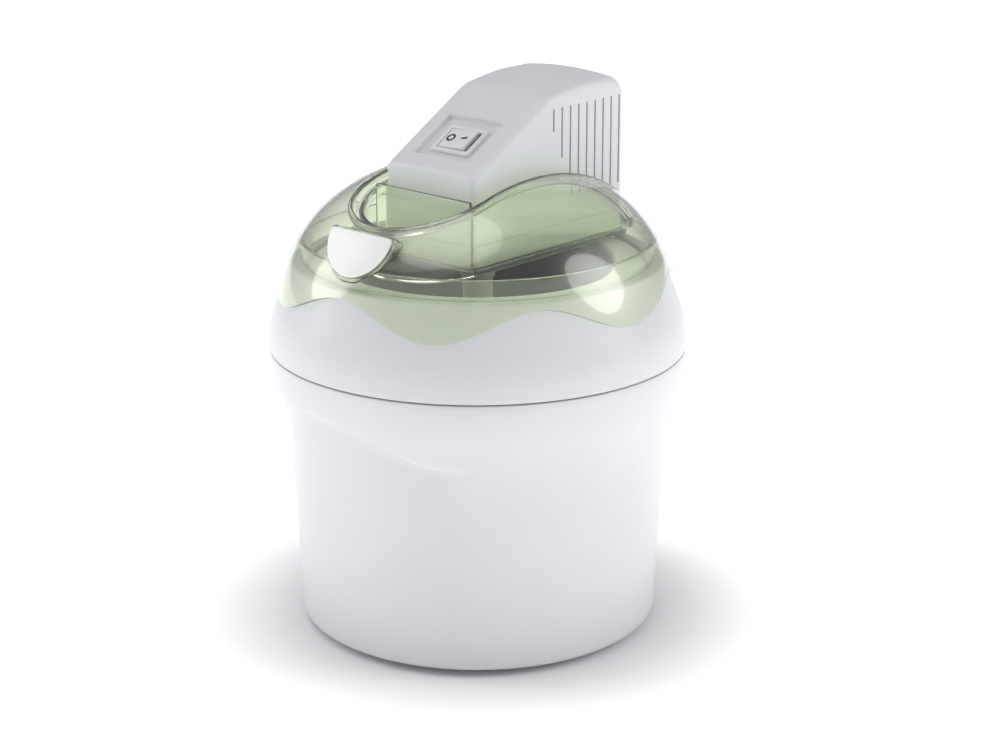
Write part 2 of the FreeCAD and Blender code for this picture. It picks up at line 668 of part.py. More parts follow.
def make_lid():
    outside = dome("LidOutside", "0")
    inside = dome("LidInside", "lid_wall")
    trough_height = "lid_top_height - deck_height + 20"
    trough = prism("TroughOutside", well_outline("well_wall", True), trough_height, "deck_height - well_wall")
    room = prism("TroughRoom", well_outline("0", False), trough_height, "deck_height")
    chute = prism("ChuteRoom", [
        ("0 - well_half_width", "0 - chute_centre - well_front / 4", "well_half_width + 0.5"),
        ("0", "0 - chute_centre - chute_radius + 1", "well_half_width + 0.5"),
        ("well_half_width", "0 - chute_centre - well_front / 4"),
        ("well_half_width", "0 - well_front - well_wall"),
        ("0 - well_half_width", "0 - well_front - well_wall"),
    ], trough_height, "deck_height - well_wall - 1")
    shell = cut("LidShellOfTurn", outside, inside)
    walls = common("LidTroughBlock", outside, trough)
    # the boss that carries the front plate
    boss = common("PlateBoss", plate_prism("PlateBossBlock", "plate_margin", "18", "0 - 0.6"),
                  cylinder("PlateBossLimit", "seam_radius + 5", "60", z="deck_height - 6"))
    rib = cut("RestRib",
              cylinder("RestRibOuter", "opening_radius + rest_rib_outset + rest_rib_wall", "24", z="collar_top"),
              cylinder("RestRibInner", "opening_radius + rest_rib_outset", "26", z="collar_top - 1"))
    rib_inside = common("RestRibTrimmed", rib, dome("RibDome", "lid_wall / 2"))
    rim_plan = well_outline("chute_radius - well_half_width + well_wall", True)
    rim_block = common("RimBlock", outside, prism("RimPlan", rim_plan, trough_height, "deck_height"))
    rim_band = cut("RimBand", rim_block, dome("RimBandInside", "well_rim_step + lid_wall"))
    whole = fuse("LidWalls", [shell, walls, rim_band, boss, rib_inside])
    shaft_hole = cylinder("LidShaftHole", "shaft_hole_radius", "20", z="deck_height - 10")
    below = wave_cutter()
    rim_step = cut("RimStep", prism("RimStepBlock", well_outline("chute_radius - well_half_width", True),
                                    trough_height, "deck_height"),
                   dome("RimStepFloor", "well_rim_step"))
    plate_seat = plate_prism("PlateSeat", "0", "plate_thickness + 3", "3")
    keep(cut("LidShell", whole, [room, chute, shaft_hole, below, rim_step, plate_seat]), "lid_shell")
    plate = plate_prism("FrontPlate", "0 - 0.2", "plate_thickness", "plate_thickness - 0.4")
    keep(plate, "lid_front_plate")
    keep(cut("ShaftSeal",
             cylinder("SealOuter", "shaft_hole_radius", "well_wall", z="deck_height - well_wall"),
             cylinder("SealHole", "drive_radius + wall_gap", "well_wall + 2", z="deck_height - well_wall - 1")),
         "shaft_seal")


def plate_prism(name, grow, depth, front):
    """D-shaped block behind the plane of the front plate; front is how far it stands out of the plane."""
    half = f"(plate_half_width + {grow})"
    reach = f"(plate_length + {grow})"
    sketch = outline_sketch(None, "XY_Plane", [
        (f"0 - {half}", f"{grow} - plate_corner", "plate_side_arc"),
        ("0", f"0 - {reach}", "plate_side_arc"),
        (half, f"{grow} - plate_corner", "plate_corner"),
        (f"{half} - plate_corner", f"{grow}"),
        (f"plate_corner - {half}", f"{grow}", "plate_corner"),
    ], name + "Outline")
    lean = size("plate_lean")
    block = doc.addObject("Part::Extrusion", name)
    block.Base = sketch
    block.DirMode = "Custom"
    block.Dir = Vector(0, 0, -1)
    block.Solid = True
    set_formula(block, "LengthFwd", depth)
    normal = Vector(0, -math.sin(math.radians(lean)), math.cos(math.radians(lean)))
    sketch.Placement = Placement(Vector(0, 0, 0), Rotation())
    block.Placement.Rotation = Rotation(Vector(1, 0, 0), lean)
    set_formula(block, ".Placement.Base.y", f"0 - plate_reach + ({front}) * {normal.y:.6f}")
    set_formula(block, ".Placement.Base.z", f"seam_height + plate_rise + ({front}) * {normal.z:.6f}")
    return block


def wave_cutter():
    """Ring whose wavy top is the lid's lower edge."""
    count = int(size("wave_count"))
    level = size("seam_height + wave_rise")
    depth = size("wave_depth")
    steps = count * 8
    edges = []
    for radius in (size("lid_shoulder_radius - 14"), size("seam_radius + 8")):
        points = []
        for step in range(steps):
            angle = 2 * math.pi * step / steps
            points.append(Vector(radius * math.sin(angle), -radius * math.cos(angle),
                                 level + depth * math.cos(count * angle)))
        curve = Part.BSplineCurve()
        curve.interpolate(Points=points, PeriodicFlag=True)
        edges.append(curve.toShape())
    face = Part.makeRuledSurface(edges[0], edges[1])
    return shape_piece("LidWaveCutter", face.extrude(Vector(0, 0, -2 * size("wave_rise"))))


# ---------------------------------------------------------------- paddle
def make_paddle():
    hub = cylinder("PaddleHub", "hub_radius", "hub_top - paddle_foot", z="paddle_foot")
    collar = cylinder("PaddleCollar", "hub_radius + hub_ring_wall", "hub_ring_height", z="hub_top - hub_ring_drop")
    parts = [hub, collar]
    half = "blade_reach"
    arms = f"2 * {half} - blade_width"
    parts.append(box("FootArm", arms, "blade_thickness", "foot_arm_height", z="paddle_foot"))
    parts.append(box("UpperArm", arms, "blade_thickness", "upper_arm_height", z="blade_top - upper_arm_drop"))
    for side, sign in (("Left", "0 - "), ("Right", "")):
        blade = box(f"{side}Blade", "blade_width", "blade_thickness", "blade_top - paddle_foot",
                    f"{sign}({half} - blade_width / 2)", "0", "paddle_foot")
        parts.append(blade)
    envelope = solid_of_turn("PaddleEnvelope", [
        ("0", "paddle_foot"),
        (f"{half} - bowl_round", "paddle_foot"),
        (half, "paddle_foot + bowl_round"),
        (half, "hub_top"),
        ("0", "hub_top"),
    ])
    solid = common("PaddleSolid", fuse("PaddleBlank", parts), envelope)
    socket = box("PaddleSocket", "drive_square + 2 * socket_gap", "drive_square + 2 * socket_gap",
                 "drive_square_length + 8", z="hub_top - drive_square_length - 2")
    mouth = cylinder("PaddleMouth", "drive_radius + wall_gap", "3", z="hub_top - 1.5")
    cup = cylinder("PivotCup", "pivot_radius + 2 * wall_gap", "pivot_height + 2 - paddle_lift + wall_gap",
                   z="paddle_foot - 1")
    keep(cut("Paddle", solid, [socket, mouth, cup]), "paddle")


# ---------------------------------------------------------------- power unit housings
def cover_profile(inset):
    """Side outline of the motor cover as (y, z), moved inwards by inset on every side but the bottom."""
    return [
        (f"0 - cover_front + ({inset})", "base_top"),
        (f"cover_rear - ({inset})", "base_top"),
        (f"cover_rear - ({inset})", f"deck_height + top_rise - ({inset})"),
        (f"top_reach + ({inset}) * 0.05", f"deck_height + top_rise - ({inset})"),
        (f"brow_reach + ({inset}) * 0.4", f"deck_height + brow_rise - ({inset})"),
        (f"0 - cover_front + ({inset})", f"deck_height + nose_rise - ({inset}) * 0.85"),
    ]


def rounded_edges(feature, test):
    """Names of the edges of a feature whose middle passes the test."""
    names = []
    for index, edge in enumerate(feature.Shape.Edges, start=1):
        middle = edge.valueAt((edge.FirstParameter + edge.LastParameter) / 2)
        if test(edge, middle):
            names.append(f"Edge{index}")
    return names


def slope_frame():
    """Rotation and point of the sloping top; its local X runs across and its local Y runs up the slope."""
    rise = size("brow_rise - nose_rise")
    run = size("brow_reach + cover_front")
    angle = math.degrees(math.atan2(rise, run))
    start = Vector(0, -size("cover_front"), size("deck_height + nose_rise"))
    return Rotation(Vector(1, 0, 0), angle), start


def slope_box(name, length, width, depth, top):
    """Box on the sloping top, centred on the switch; top is its upper face above the slope."""
    rotation, start = slope_frame()
    block = doc.addObject("Part::Box", name)
    set_formula(block, "Length", length)
    set_formula(block, "Width", width)
    set_formula(block, "Height", depth)
    corner = Vector(-size(length) / 2, size("recess_up") - size(width) / 2, size(top) - size(depth))
    block.Placement = Placement(start + rotation.multVec(corner), rotation)
    return block


def make_motor_cover():
    body = new_body("motor_cover_body")
    pad(body, "YZ_Plane", cover_profile("0"), "2 * cover_half_width", "CoverBlock")
    doc.recompute()
    block = body.Tip
    half = size("cover_half_width")
    bottom = size("base_top")
    rounding = body.newObject("PartDesign::Fillet", "CoverRounding")
    rounding.Base = (block, rounded_edges(
        block, lambda edge, middle: middle.z > bottom + 1 and (abs(abs(middle.x) - half) < 0.01)))
    set_formula(rounding, "Radius", "cover_round")
    doc.recompute()
    pad(body, "YZ_Plane", cover_profile("cover_wall"), "2 * (cover_half_width - cover_wall)", "CoverRoom",
        cut=True)
    doc.recompute()
    vents = []
    for index in range(int(size("vent_count"))):
        height = "vent_top - vent_bottom"
        if index < 2:
            height = ("vent_first_length", "vent_second_length")[index]
        for side, x in (("Left", "0 - cover_half_width"), ("Right", "cover_half_width")):
            vents.append(box(f"{side}Vent{index}", "2 * cover_wall + 1", "vent_width", height,
                             x, f"vent_start + {index} * vent_pitch", f"deck_height + vent_top - ({height})"))
    floor = slope_box("RecessFloor", "recess_length + 2 * cover_wall", "recess_width + 2 * cover_wall",
                      "recess_depth + cover_wall - 0.5", "0 - 0.5")
    recess = slope_box("RecessRoom", "recess_length", "recess_width", "recess_depth + 10", "10")
    opening = slope_box("SwitchOpening", "rocker_length + 3", "rocker_width + 3", "30", "2")
    bosses = []
    for index, (x, y) in enumerate(screw_places()):
        bosses.append(cylinder(f"CoverBoss{index}", "boss_radius", "nose_rise - cover_split - 6", x, y,
                               "base_top + wall_gap"))
    bosses_in_room = common("CoverBosses", fuse("CoverBossGroup", bosses), cover_solid())
    pilots = [cylinder(f"CoverPilot{index}", "screw_radius + bore_gap", "14", x, y, "base_top")
              for index, (x, y) in enumerate(screw_places())]
    gland_hole = cylinder("GlandHole", "gland_radius", "20")
    gland_hole.Placement.Rotation = Rotation(Vector(1, 0, 0), -90)
    set_formula(gland_hole, ".Placement.Base.y", "cover_rear - 10")
    set_formula(gland_hole, ".Placement.Base.z", "deck_height + gland_level")
    walls = fuse("CoverWalls", [body, floor, bosses_in_room])
    keep(cut("MotorCover", walls, vents + [recess, opening, gland_hole] + pilots), "motor_cover")


def cover_solid():
    """The cover's outer block, used to trim what stands inside it."""
    sketch = outline_sketch(None, "YZ_Plane", cover_profile("1"), "CoverSolidOutline")
    block = doc.addObject("Part::Extrusion", "CoverSolid")
    block.Base = sketch
    block.DirMode = "Custom"
    block.Dir = Vector(1, 0, 0)
    block.Solid = True
    block.Symmetric = True
    set_formula(block, "LengthFwd", "2 * cover_half_width - 2")
    return block


def screw_places():
    """The four screws that close the housing, as (x, y) formulas."""
    inset = "(cover_wall + boss_radius - 0.6)"
    return [
        (f"{inset} - cover_half_width", f"{inset} - cover_front"),
        (f"cover_half_width - {inset}", f"{inset} - cover_front"),
        (f"{inset} - cover_half_width", f"cover_rear - {inset}"),
        (f"cover_half_width - {inset}", f"cover_rear - {inset}"),
    ]


def post_places():
    """The four posts of the gear plate, as (x, y) formulas."""
    side = "(housing_room - post_inset)"
    front = "0 - front_post_reach"
    return [
        (f"0 - {side}", front),
        (side, front),
        (f"0 - {side}", "rotor_reach"),
        (f"{side} + rear_post_shift", "rotor_reach + rear_post_offset"),
    ]


def make_motor_base():
    half = "cover_half_width"
    tray = cut("BaseTray",
               box("BaseBlock", f"2 * {half}", "cover_rear + cover_front", "cover_split - wall_gap",
                   "0", "(cover_rear - cover_front) / 2", "deck_height"),
               box("BaseRoom", f"2 * ({half} - cover_wall)", "cover_rear + cover_front - 2 * cover_wall",
                   "cover_split", "0", "(cover_rear - cover_front) / 2", "gear_deck"))
    solid = [tray]
    holes = []
    for index, (x, y) in enumerate(screw_places()):
        solid.append(cylinder(f"BaseBoss{index}", "boss_radius", "cover_split - wall_gap - 0.5", x, y,
                              "deck_height + 0.5"))
        holes.append(cylinder(f"BaseScrewHole{index}", "screw_radius + bore_gap", "20", x, y, "deck_height - 2"))
        holes.append(cylinder(f"BaseHeadRoom{index}", "screw_head_radius + bore_gap", "4", x, y,
                              "deck_height - 2"))
    for index, (x, y) in enumerate(post_places()):
        solid.append(cylinder(f"PlatePost{index}", "post_radius", "plate_bottom - gear_deck + 0.5", x, y,
                              "gear_deck - 0.5"))
        holes.append(cylinder(f"PostPilot{index}", "small_screw_radius", "8", x, y, "plate_bottom - 6"))
    for index, (x, y) in enumerate(gear_places()[1:3]):
        holes.append(cylinder(f"PinSeat{index}", "gear_pin_radius", "base_floor + 2", x, y, "deck_height + 1"))
        solid.append(cylinder(f"PinBoss{index}", "3", "1.8", x, y, "gear_deck - 0.5"))
    solid.append(cylinder("BushBoss", "drive_radius + bush_wall + 2", "1.4", z="gear_deck - 0.5"))
    holes.append(cylinder("BushHole", "drive_radius + bush_wall", "8", z="deck_height - 1"))
    keep(cut("MotorBase", fuse("BaseWalls", solid), holes), "motor_base")


def make_screws():
    screws = []
    for index, (x, y) in enumerate(screw_places()):
        shank = cylinder(f"ScrewShank{index}", "screw_radius", "cover_split + 8", x, y, "deck_height + 1")
        head = cylinder(f"ScrewHead{index}", "screw_head_radius", "1.6", x, y, "deck_height + 0.4")
        slot = box(f"ScrewSlot{index}", "3.4", "0.8", "0.9", x, y, "deck_height")
        cross = box(f"ScrewCross{index}", "0.8", "3.4", "0.9", x, y, "deck_height")
        screws.append(cut(f"CoverScrew{index}", fuse(f"ScrewBlank{index}", [shank, head]), [slot, cross]))
    keep(group("CoverScrews", screws), "cover_screws")
    small = []
    for index, (x, y) in enumerate(post_places()):
        shank = cylinder(f"PlateShank{index}", "small_screw_radius - bore_gap", "6.5", x, y, "can_bottom - 6")
        head = cylinder(f"PlateHead{index}", "2 * small_screw_radius", "1.5", x, y, "can_bottom")
        slot = box(f"PlateSlot{index}", "5", "0.6", "1", x, y, "can_bottom + 0.9")
        small.append(cut(f"PlateScrew{index}", fuse(f"PlateBlank{index}", [shank, head]), slot))
    keep(group("PlateScrews", small), "gear_plate_screws")


# ---------------------------------------------------------------- gears
def pitch_radius(module, teeth):
    return module * teeth / 2


def gear_places():
    """Axes of output gear, second gear, first gear and motor pinion, as (x, y) numbers."""
    drive = size("drive_module * (output_teeth + pinion_teeth) / 2")
    train = size("train_module * (train_teeth + pinion_teeth) / 2")
    rotor = size("rotor_reach")
    half_gap = (rotor - drive) / 2
    side = math.sqrt(max(train ** 2 - half_gap ** 2, 0))
    return [(0.0, 0.0), (0.0, drive), (side, drive + half_gap), (0.0, rotor)]


def involute_point(base, radius):
    """Polar angle of an involute of the given base radius where it reaches radius."""
    if radius <= base:
        return 0.0
    pressure = math.acos(base / radius)
    return math.tan(pressure) - pressure


def spur_gear(module, teeth, face, level, bore, turn):
    """Spur gear about the Z axis with a tooth centred at the angle turn (radians)."""
    pressure = math.radians(20)
    pitch = pitch_radius(module, teeth)
    base = pitch * math.cos(pressure)
    tip = pitch + 0.75 * module
    root = pitch - 1.05 * module
    backlash = 0.06 * module
    half_tooth = (math.pi * module / 2 - backlash) / 2 / pitch
    half_at_base = half_tooth + involute_point(base, pitch)
    start = max(base, root)
    half_at_foot = half_at_base - involute_point(base, start)
    edges = []
    for tooth in range(teeth):
        middle = turn + 2 * math.pi * tooth / teeth
        flanks = []
        for side in (-1, 1):
            flank = []
            for step in range(4):
                radius = start + (tip - start) * step / 3
                angle = middle + side * (half_at_base - involute_point(base, radius))
                flank.append(Vector(radius * math.cos(angle), radius * math.sin(angle), level))
            foot_angle = middle + side * half_at_foot
            foot = Vector(root * math.cos(foot_angle), root * math.sin(foot_angle), level)
            flanks.append((foot, flank))
        (foot_in, rise), (foot_out, fall) = flanks
        if root < base:
            edges.append(Part.makeLine(foot_in, rise[0]))
        edges.append(flank_curve(rise))
        edges.append(Part.Arc(rise[-1], Vector(tip * math.cos(middle), tip * math.sin(middle), level),
                              fall[-1]).toShape())
        edges.append(flank_curve(fall[::-1]))
        if root < base:
            edges.append(Part.makeLine(fall[0], foot_out))
        gap = middle + math.pi / teeth
        next_foot = middle + 2 * math.pi / teeth - half_at_foot
        edges.append(Part.Arc(foot_out, Vector(root * math.cos(gap), root * math.sin(gap), level),
                              Vector(root * math.cos(next_foot), root * math.sin(next_foot), level)).toShape())
    blank = Part.Face(Part.Wire(edges)).extrude(Vector(0, 0, face))
    if bore:
        blank = blank.cut(Part.makeCylinder(bore, face + 2, Vector(0, 0, level - 1)))
    return blank


def flank_curve(points):
    curve = Part.BSplineCurve()
    curve.interpolate(points)
    return curve.toShape()


def mesh_turn(driver_place, place, driver_teeth, teeth, driver_turn):
    """Turn of a gear at place whose tooth gap faces a tooth of the driver."""
    towards = math.atan2(place[1] - driver_place[1], place[0] - driver_place[0])
    phase = (towards - driver_turn) * driver_teeth / (2 * math.pi)
    back = towards + math.pi
    return back + (phase % 1.0) * 2 * math.pi / teeth + math.pi / teeth


def make_gears():
    deck = size("deck_height")
    drive = size("drive_module")
    train = size("train_module")
    pinion_count = int(size("pinion_teeth"))
    train_count = int(size("train_teeth"))
    output_count = int(size("output_teeth"))
    output_place, second_place, first_place, rotor_place = gear_places()
    pin_bore = size("gear_pin_radius + running_gap")
    output_low = deck + size("output_level")
    face = size("output_face")
    train_face = size("train_face")
    second_low = output_low + face + 1.0
    first_low = second_low + train_face + 1.5

    output_turn = 0.0
    output = spur_gear(drive, output_count, face, output_low, size("drive_radius - 0.4"), output_turn)
    keep(shape_piece("OutputGear", output), "output_gear")

    second_turn = mesh_turn(output_place, second_place, output_count, pinion_count, output_turn)
    pinion = spur_gear(drive, pinion_count, face + 1.0, output_low, 0, second_turn)
    wheel = spur_gear(train, train_count, train_face, second_low, 0, 0.0)
    second = pinion.fuse(wheel).cut(Part.makeCylinder(pin_bore, 40, Vector(0, 0, deck)))
    place_piece("SecondGear", second, second_place, "second_gear")

    first_turn = mesh_turn(second_place, first_place, train_count, pinion_count, 0.0)
    pinion = spur_gear(train, pinion_count, train_face + 1.5, second_low, 0, first_turn)
    wheel = spur_gear(train, train_count, train_face, first_low, 0, 0.0)
    first = pinion.fuse(wheel).cut(Part.makeCylinder(pin_bore, 40, Vector(0, 0, deck)))
    place_piece("FirstGear", first, first_place, "first_gear")

    motor_turn = mesh_turn(first_place, rotor_place, train_count, pinion_count, 0.0)
    pinion = spur_gear(train, pinion_count, train_face + 0.6, first_low - 0.3, size("shaft_radius"), motor_turn)
    place_piece("MotorPinion", pinion, rotor_place, "motor_pinion")

    for label, place in (("second_gear_pin", second_place), ("first_gear_pin", first_place)):
        x, y = place
        keep(cylinder(label + "_rod", "gear_pin_radius", "can_bottom - deck_height - 1.0",
                      f"{x:.9f}", f"{y:.9f}", "deck_height + 1"), label)


def place_piece(name, shape, place, label):
    feature = shape_piece(name, shape)
    feature.Placement = Placement(Vector(place[0], place[1], 0), Rotation())
    keep(feature, label)


def make_gear_plate():
    plate = box("GearPlateBlank", "2 * (housing_room - gear_plate_gap)",
                "rotor_reach + gear_plate_front + gear_plate_overhang", "gear_plate_thickness",
                "0", "(rotor_reach + gear_plate_overhang - gear_plate_front) / 2", "plate_bottom")
    holes = [cylinder("UpperBushHole", "drive_radius + bush_wall - 1", "6", z="plate_bottom - 2")]
    for index, (x, y) in enumerate(post_places()):
        holes.append(cylinder(f"PlateHole{index}", "small_screw_radius", "6", x, y, "plate_bottom - 2"))
    for index, (x, y) in enumerate(gear_places()[1:3]):
        holes.append(cylinder(f"PlatePinHole{index}", "gear_pin_radius", "6", f"{x:.9f}", f"{y:.9f}",
                              "plate_bottom - 2"))
    x, y = gear_places()[3]
    holes.append(cylinder("PlateShaftHole", "shaft_radius + 1.2", "6", f"{x:.9f}", f"{y:.9f}",
                          "plate_bottom - 2"))
    keep(cut("GearPlate", plate, holes), "gear_plate")


def make_drive_shaft():
    square = box("ShaftSquare", "drive_square", "drive_square", "drive_square_length",
                 z="hub_top - drive_square_length")
    round_part = cylinder("ShaftRound", "drive_radius", "deck_height + output_level - hub_top",
                          z="hub_top")
    upper = cylinder("ShaftUpper", "drive_radius - 1", "can_bottom - deck_height - output_level + 0.5",
                     z="deck_height + output_level")
    seat = cylinder("ShaftSeat", "drive_radius - 0.4", "output_face", z="deck_height + output_level")
    keep(fuse("DriveShaft", [square, round_part, seat, upper]), "drive_shaft")
    keep(cut("OutputBush",
             cylinder("OutputBushOuter", "drive_radius + bush_wall", "base_floor + 0.9", z="deck_height"),
             cylinder("OutputBushHole", "drive_radius + running_gap", "base_floor + 3", z="deck_height - 1")),
         "output_bush")
    keep(cut("UpperBush",
             cylinder("UpperBushOuter", "drive_radius + bush_wall - 1", "gear_plate_thickness",
                      z="plate_bottom"),
             cylinder("UpperBushBore", "drive_radius - 1 + running_gap", "5", z="plate_bottom - 2")),
         "upper_bush")


# ---------------------------------------------------------------- motor
def ring(name, outer, inner, height, x, y, z):
    return cut(name, cylinder(name + "Outer", outer, height, x, y, z),
               cylinder(name + "Inner", inner, f"({height}) + 2", x, y, f"({z}) - 1"))


def make_motor():
    x = "0"
    y = "rotor_reach"
    top = "can_bottom + can_height"
    tube = ring("CanTube", "can_radius", "can_radius - can_wall", "can_height", x, y, "can_bottom")
    end = ring("CanEnd", "can_radius", "shaft_radius + running_gap", "can_wall", x, y, "can_bottom")
    keep(fuse("MotorCan", [tube, end]), "motor_can")
    inner = "can_radius - can_wall"
    magnet_ring = ring("MagnetRing", inner, f"{inner} - magnet_thickness", "can_height - 14", x, y,
                       "can_bottom + 4")
    split = box("MagnetSplit", "60", "8", "60", x, y, "can_bottom")
    keep(cut("Magnets", magnet_ring, split), "motor_magnets")
    keep(ring("EndCap", inner, "shaft_radius + running_gap", "3", x, y, f"{top} - 3"), "motor_end_cap")
    core = f"{inner} - magnet_thickness - air_gap"
    armature = cylinder("ArmatureCore", core, "can_height - 15", x, y, "can_bottom + 4.5")
    slots = []
    for index in range(5):
        angle = 2 * math.pi * index / 5
        reach = size(core)
        slots.append(cylinder(f"WindingSlot{index}", "1.6", "60",
                              f"{reach * math.cos(angle):.6f}", f"rotor_reach + {reach * math.sin(angle):.6f}",
                              "can_bottom"))
    shaft = cylinder("MotorShaft", "shaft_radius", "can_height + 7 + plate_level - 17",
                     x, y, "can_bottom - plate_level + 17")
    keep(fuse("Armature", [cut("SlottedCore", armature, slots), shaft]), "armature")
    keep(ring("Commutator", "3.4", "shaft_radius", "6", x, y, f"{top} - 10"), "commutator")
    brushes = []
    for index, sign in enumerate(("0 - ", "")):
        brushes.append(box(f"Brush{index}", "5", "3", "4", f"{sign}6.1", y, f"{top} - 9"))
    keep(group("BrushPair", brushes), "brushes")
    fan_level = f"{top} + 2"
    hub = ring("FanHub", "4", "shaft_radius", "5", x, y, fan_level)
    disc = ring("FanDisc", "can_radius - 1", "shaft_radius", "1", x, y, fan_level)
    blades = []
    for index in range(8):
        angle = 45.0 * index
        blade = doc.addObject("Part::Box", f"FanBlade{index}")
        set_formula(blade, "Length", "can_radius - 4.5")
        blade.Width = 0.9
        blade.Height = 5
        turn = Rotation(Vector(0, 0, 1), angle)
        corner = turn.multVec(Vector(3.4, -0.45, 0))
        blade.Placement = Placement(corner, turn)
        set_formula(blade, ".Placement.Base.y", f"rotor_reach + {corner.y:.6f}")
        set_formula(blade, ".Placement.Base.z", fan_level)
        blades.append(blade)
    keep(fuse("Fan", [hub, disc] + blades), "cooling_fan")


# ---------------------------------------------------------------- switch and electrics
def make_switch():
    rotation, start = slope_frame()
    middle = rotation.multVec(Vector(0, size("recess_up"), -size("recess_depth") - 0.2))
    on_slope = Placement(start + middle, rotation)
    half = size("rocker_length") / 2
    width = size("rocker_width")
    rest = Rotation(Vector(0, 1, 0), -size("rocker_tilt"))

    # the rocker turns about the pin, which is the origin of this outline
    outline = [Vector(-half, 0, 3.2), Vector(0, 0, 2.4), Vector(half, 0, 3.2),
               Vector(half * 0.72, 0, -2.4), Vector(-half * 0.72, 0, -2.4)]
    rocker = Part.Face(Part.makePolygon(outline + [outline[0]])).extrude(Vector(0, width, 0))
    rocker.translate(Vector(0, -width / 2, 0))
    pin_hole = size("rocker_pin_radius + running_gap")
    rocker = rocker.cut(Part.makeCylinder(pin_hole, width + 2, Vector(0, -width / 2 - 1, 0), Vector(0, 1, 0)))
    feature = shape_piece("Rocker", rocker)
    feature.Placement = on_slope.multiply(Placement(Vector(0, 0, 0), rest))
    keep(feature, "switch_rocker")

    pin_length = width + 2.4
    pin_start = Vector(0, -pin_length / 2, 0)
    pin = Part.makeCylinder(size("rocker_pin_radius"), pin_length, pin_start, Vector(0, 1, 0))
    pin_feature = shape_piece("RockerPin", pin)
    pin_feature.Placement = on_slope
    keep(pin_feature, "rocker_pin")

    terminals = []
    for index, offset in enumerate((-6, 6)):
        blade = Part.makeBox(0.8, 4.8, 11, Vector(offset - 0.4, -2.4, -20))
        terminal = shape_piece(f"Terminal{index}", blade)
        terminal.Placement = on_slope
        terminals.append(terminal)
    keep(group("Terminals", terminals), "switch_terminals")

    front_level = "0 - recess_depth + 1.6"
    frame = slope_box("SwitchFrame", "rocker_length + 2.4", "rocker_width + 2.4", "16", front_level)
    flange = slope_box("SwitchFlange", "rocker_length + 6", "rocker_width + 6", "1.6", front_level)
    room = slope_box("SwitchRoom", "rocker_length + 0.8", "rocker_width + 0.8", "15", "6")
    block = fuse("SwitchBlock", [frame, flange])
    keep(cut("SwitchBody", block, [room, pin_feature] + terminals), "switch_body")


def make_electrics():
    board_level = "can_bottom + standoff_height"
    side = "(board_length / 2 - standoff_inset)"
    reach = "(board_width / 2 - standoff_side_inset)"
    corners = [("0 - 1", "0 - 1"), ("1", "0 - 1"), ("0 - 1", "1"), ("1", "1")]
    standoffs = [cylinder(f"Standoff{index}", "standoff_radius", "standoff_height",
                          f"{across} * {side}", f"board_middle + {along} * {reach}", "can_bottom")
                 for index, (across, along) in enumerate(corners)]
    keep(group("Standoffs", standoffs), "board_standoffs")
    keep(box("Board", "board_length", "board_width", "board_thickness", "0", "board_middle", board_level),
         "rectifier_board")
    parts_level = f"{board_level} + board_thickness"
    keep(box("Capacitor", "18", "7", "11", "0 - 6", "board_middle - 6", parts_level), "suppressor_capacitor")
    keep(cylinder("Bridge", "5", "5", "8", "board_middle + 6", parts_level), "rectifier")
    gland = doc.addObject("Part::Cylinder", "GlandBody")
    set_formula(gland, "Radius", "gland_radius")
    set_formula(gland, "Height", "cover_wall + 1.5")
    collar = doc.addObject("Part::Cylinder", "GlandCollar")
    set_formula(collar, "Radius", "gland_radius + gland_flange")
    collar.Height = 2
    hole = doc.addObject("Part::Cylinder", "GlandBore")
    set_formula(hole, "Radius", "cord_radius")
    hole.Height = 20
    for part, reach in ((gland, "cover_rear - cover_wall - 1.5"), (collar, "cover_rear - cover_wall - 2"),
                        (hole, "cover_rear - 12")):
        part.Placement.Rotation = Rotation(Vector(1, 0, 0), -90)
        set_formula(part, ".Placement.Base.y", reach)
        set_formula(part, ".Placement.Base.z", "deck_height + gland_level")
    keep(cut("CordGland", fuse("GlandParts", [gland, collar]), hole), "cord_gland")


# ---------------------------------------------------------------- build and export
make_lower_casing()
make_feet()
make_collar()
make_bowl()
make_lid()
make_paddle()
make_motor_cover()
make_motor_base()
make_screws()
make_gears()
make_gear_plate()
make_drive_shaft()
make_motor()
make_switch()
make_electrics()
doc.recompute()

for feature in doc.Objects:
    if "Invalid" in feature.State or "Error" in feature.State:
        raise RuntimeError(f"{feature.Name} did not compute: {feature.State}")
labels = [piece.Label for piece in pieces]
if len(set(labels)) != len(labels):
    raise RuntimeError("two pieces share a name")
for piece in pieces:
    if piece.Shape.isNull() or not piece.Shape.isValid() or not piece.Shape.Solids:
        raise RuntimeError(f"{piece.Label} has no valid solid")

os.makedirs("parts", exist_ok=True)
for piece in pieces:
    piece.Shape.exportStep(f"parts/{piece.Label}.step")
    print(piece.Label, len(piece.Shape.Solids), "solid(s)", round(piece.Shape.Volume / 1000, 2), "cm3")
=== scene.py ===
import math
import bmesh
import bpy
from mathutils import Matrix, Vector


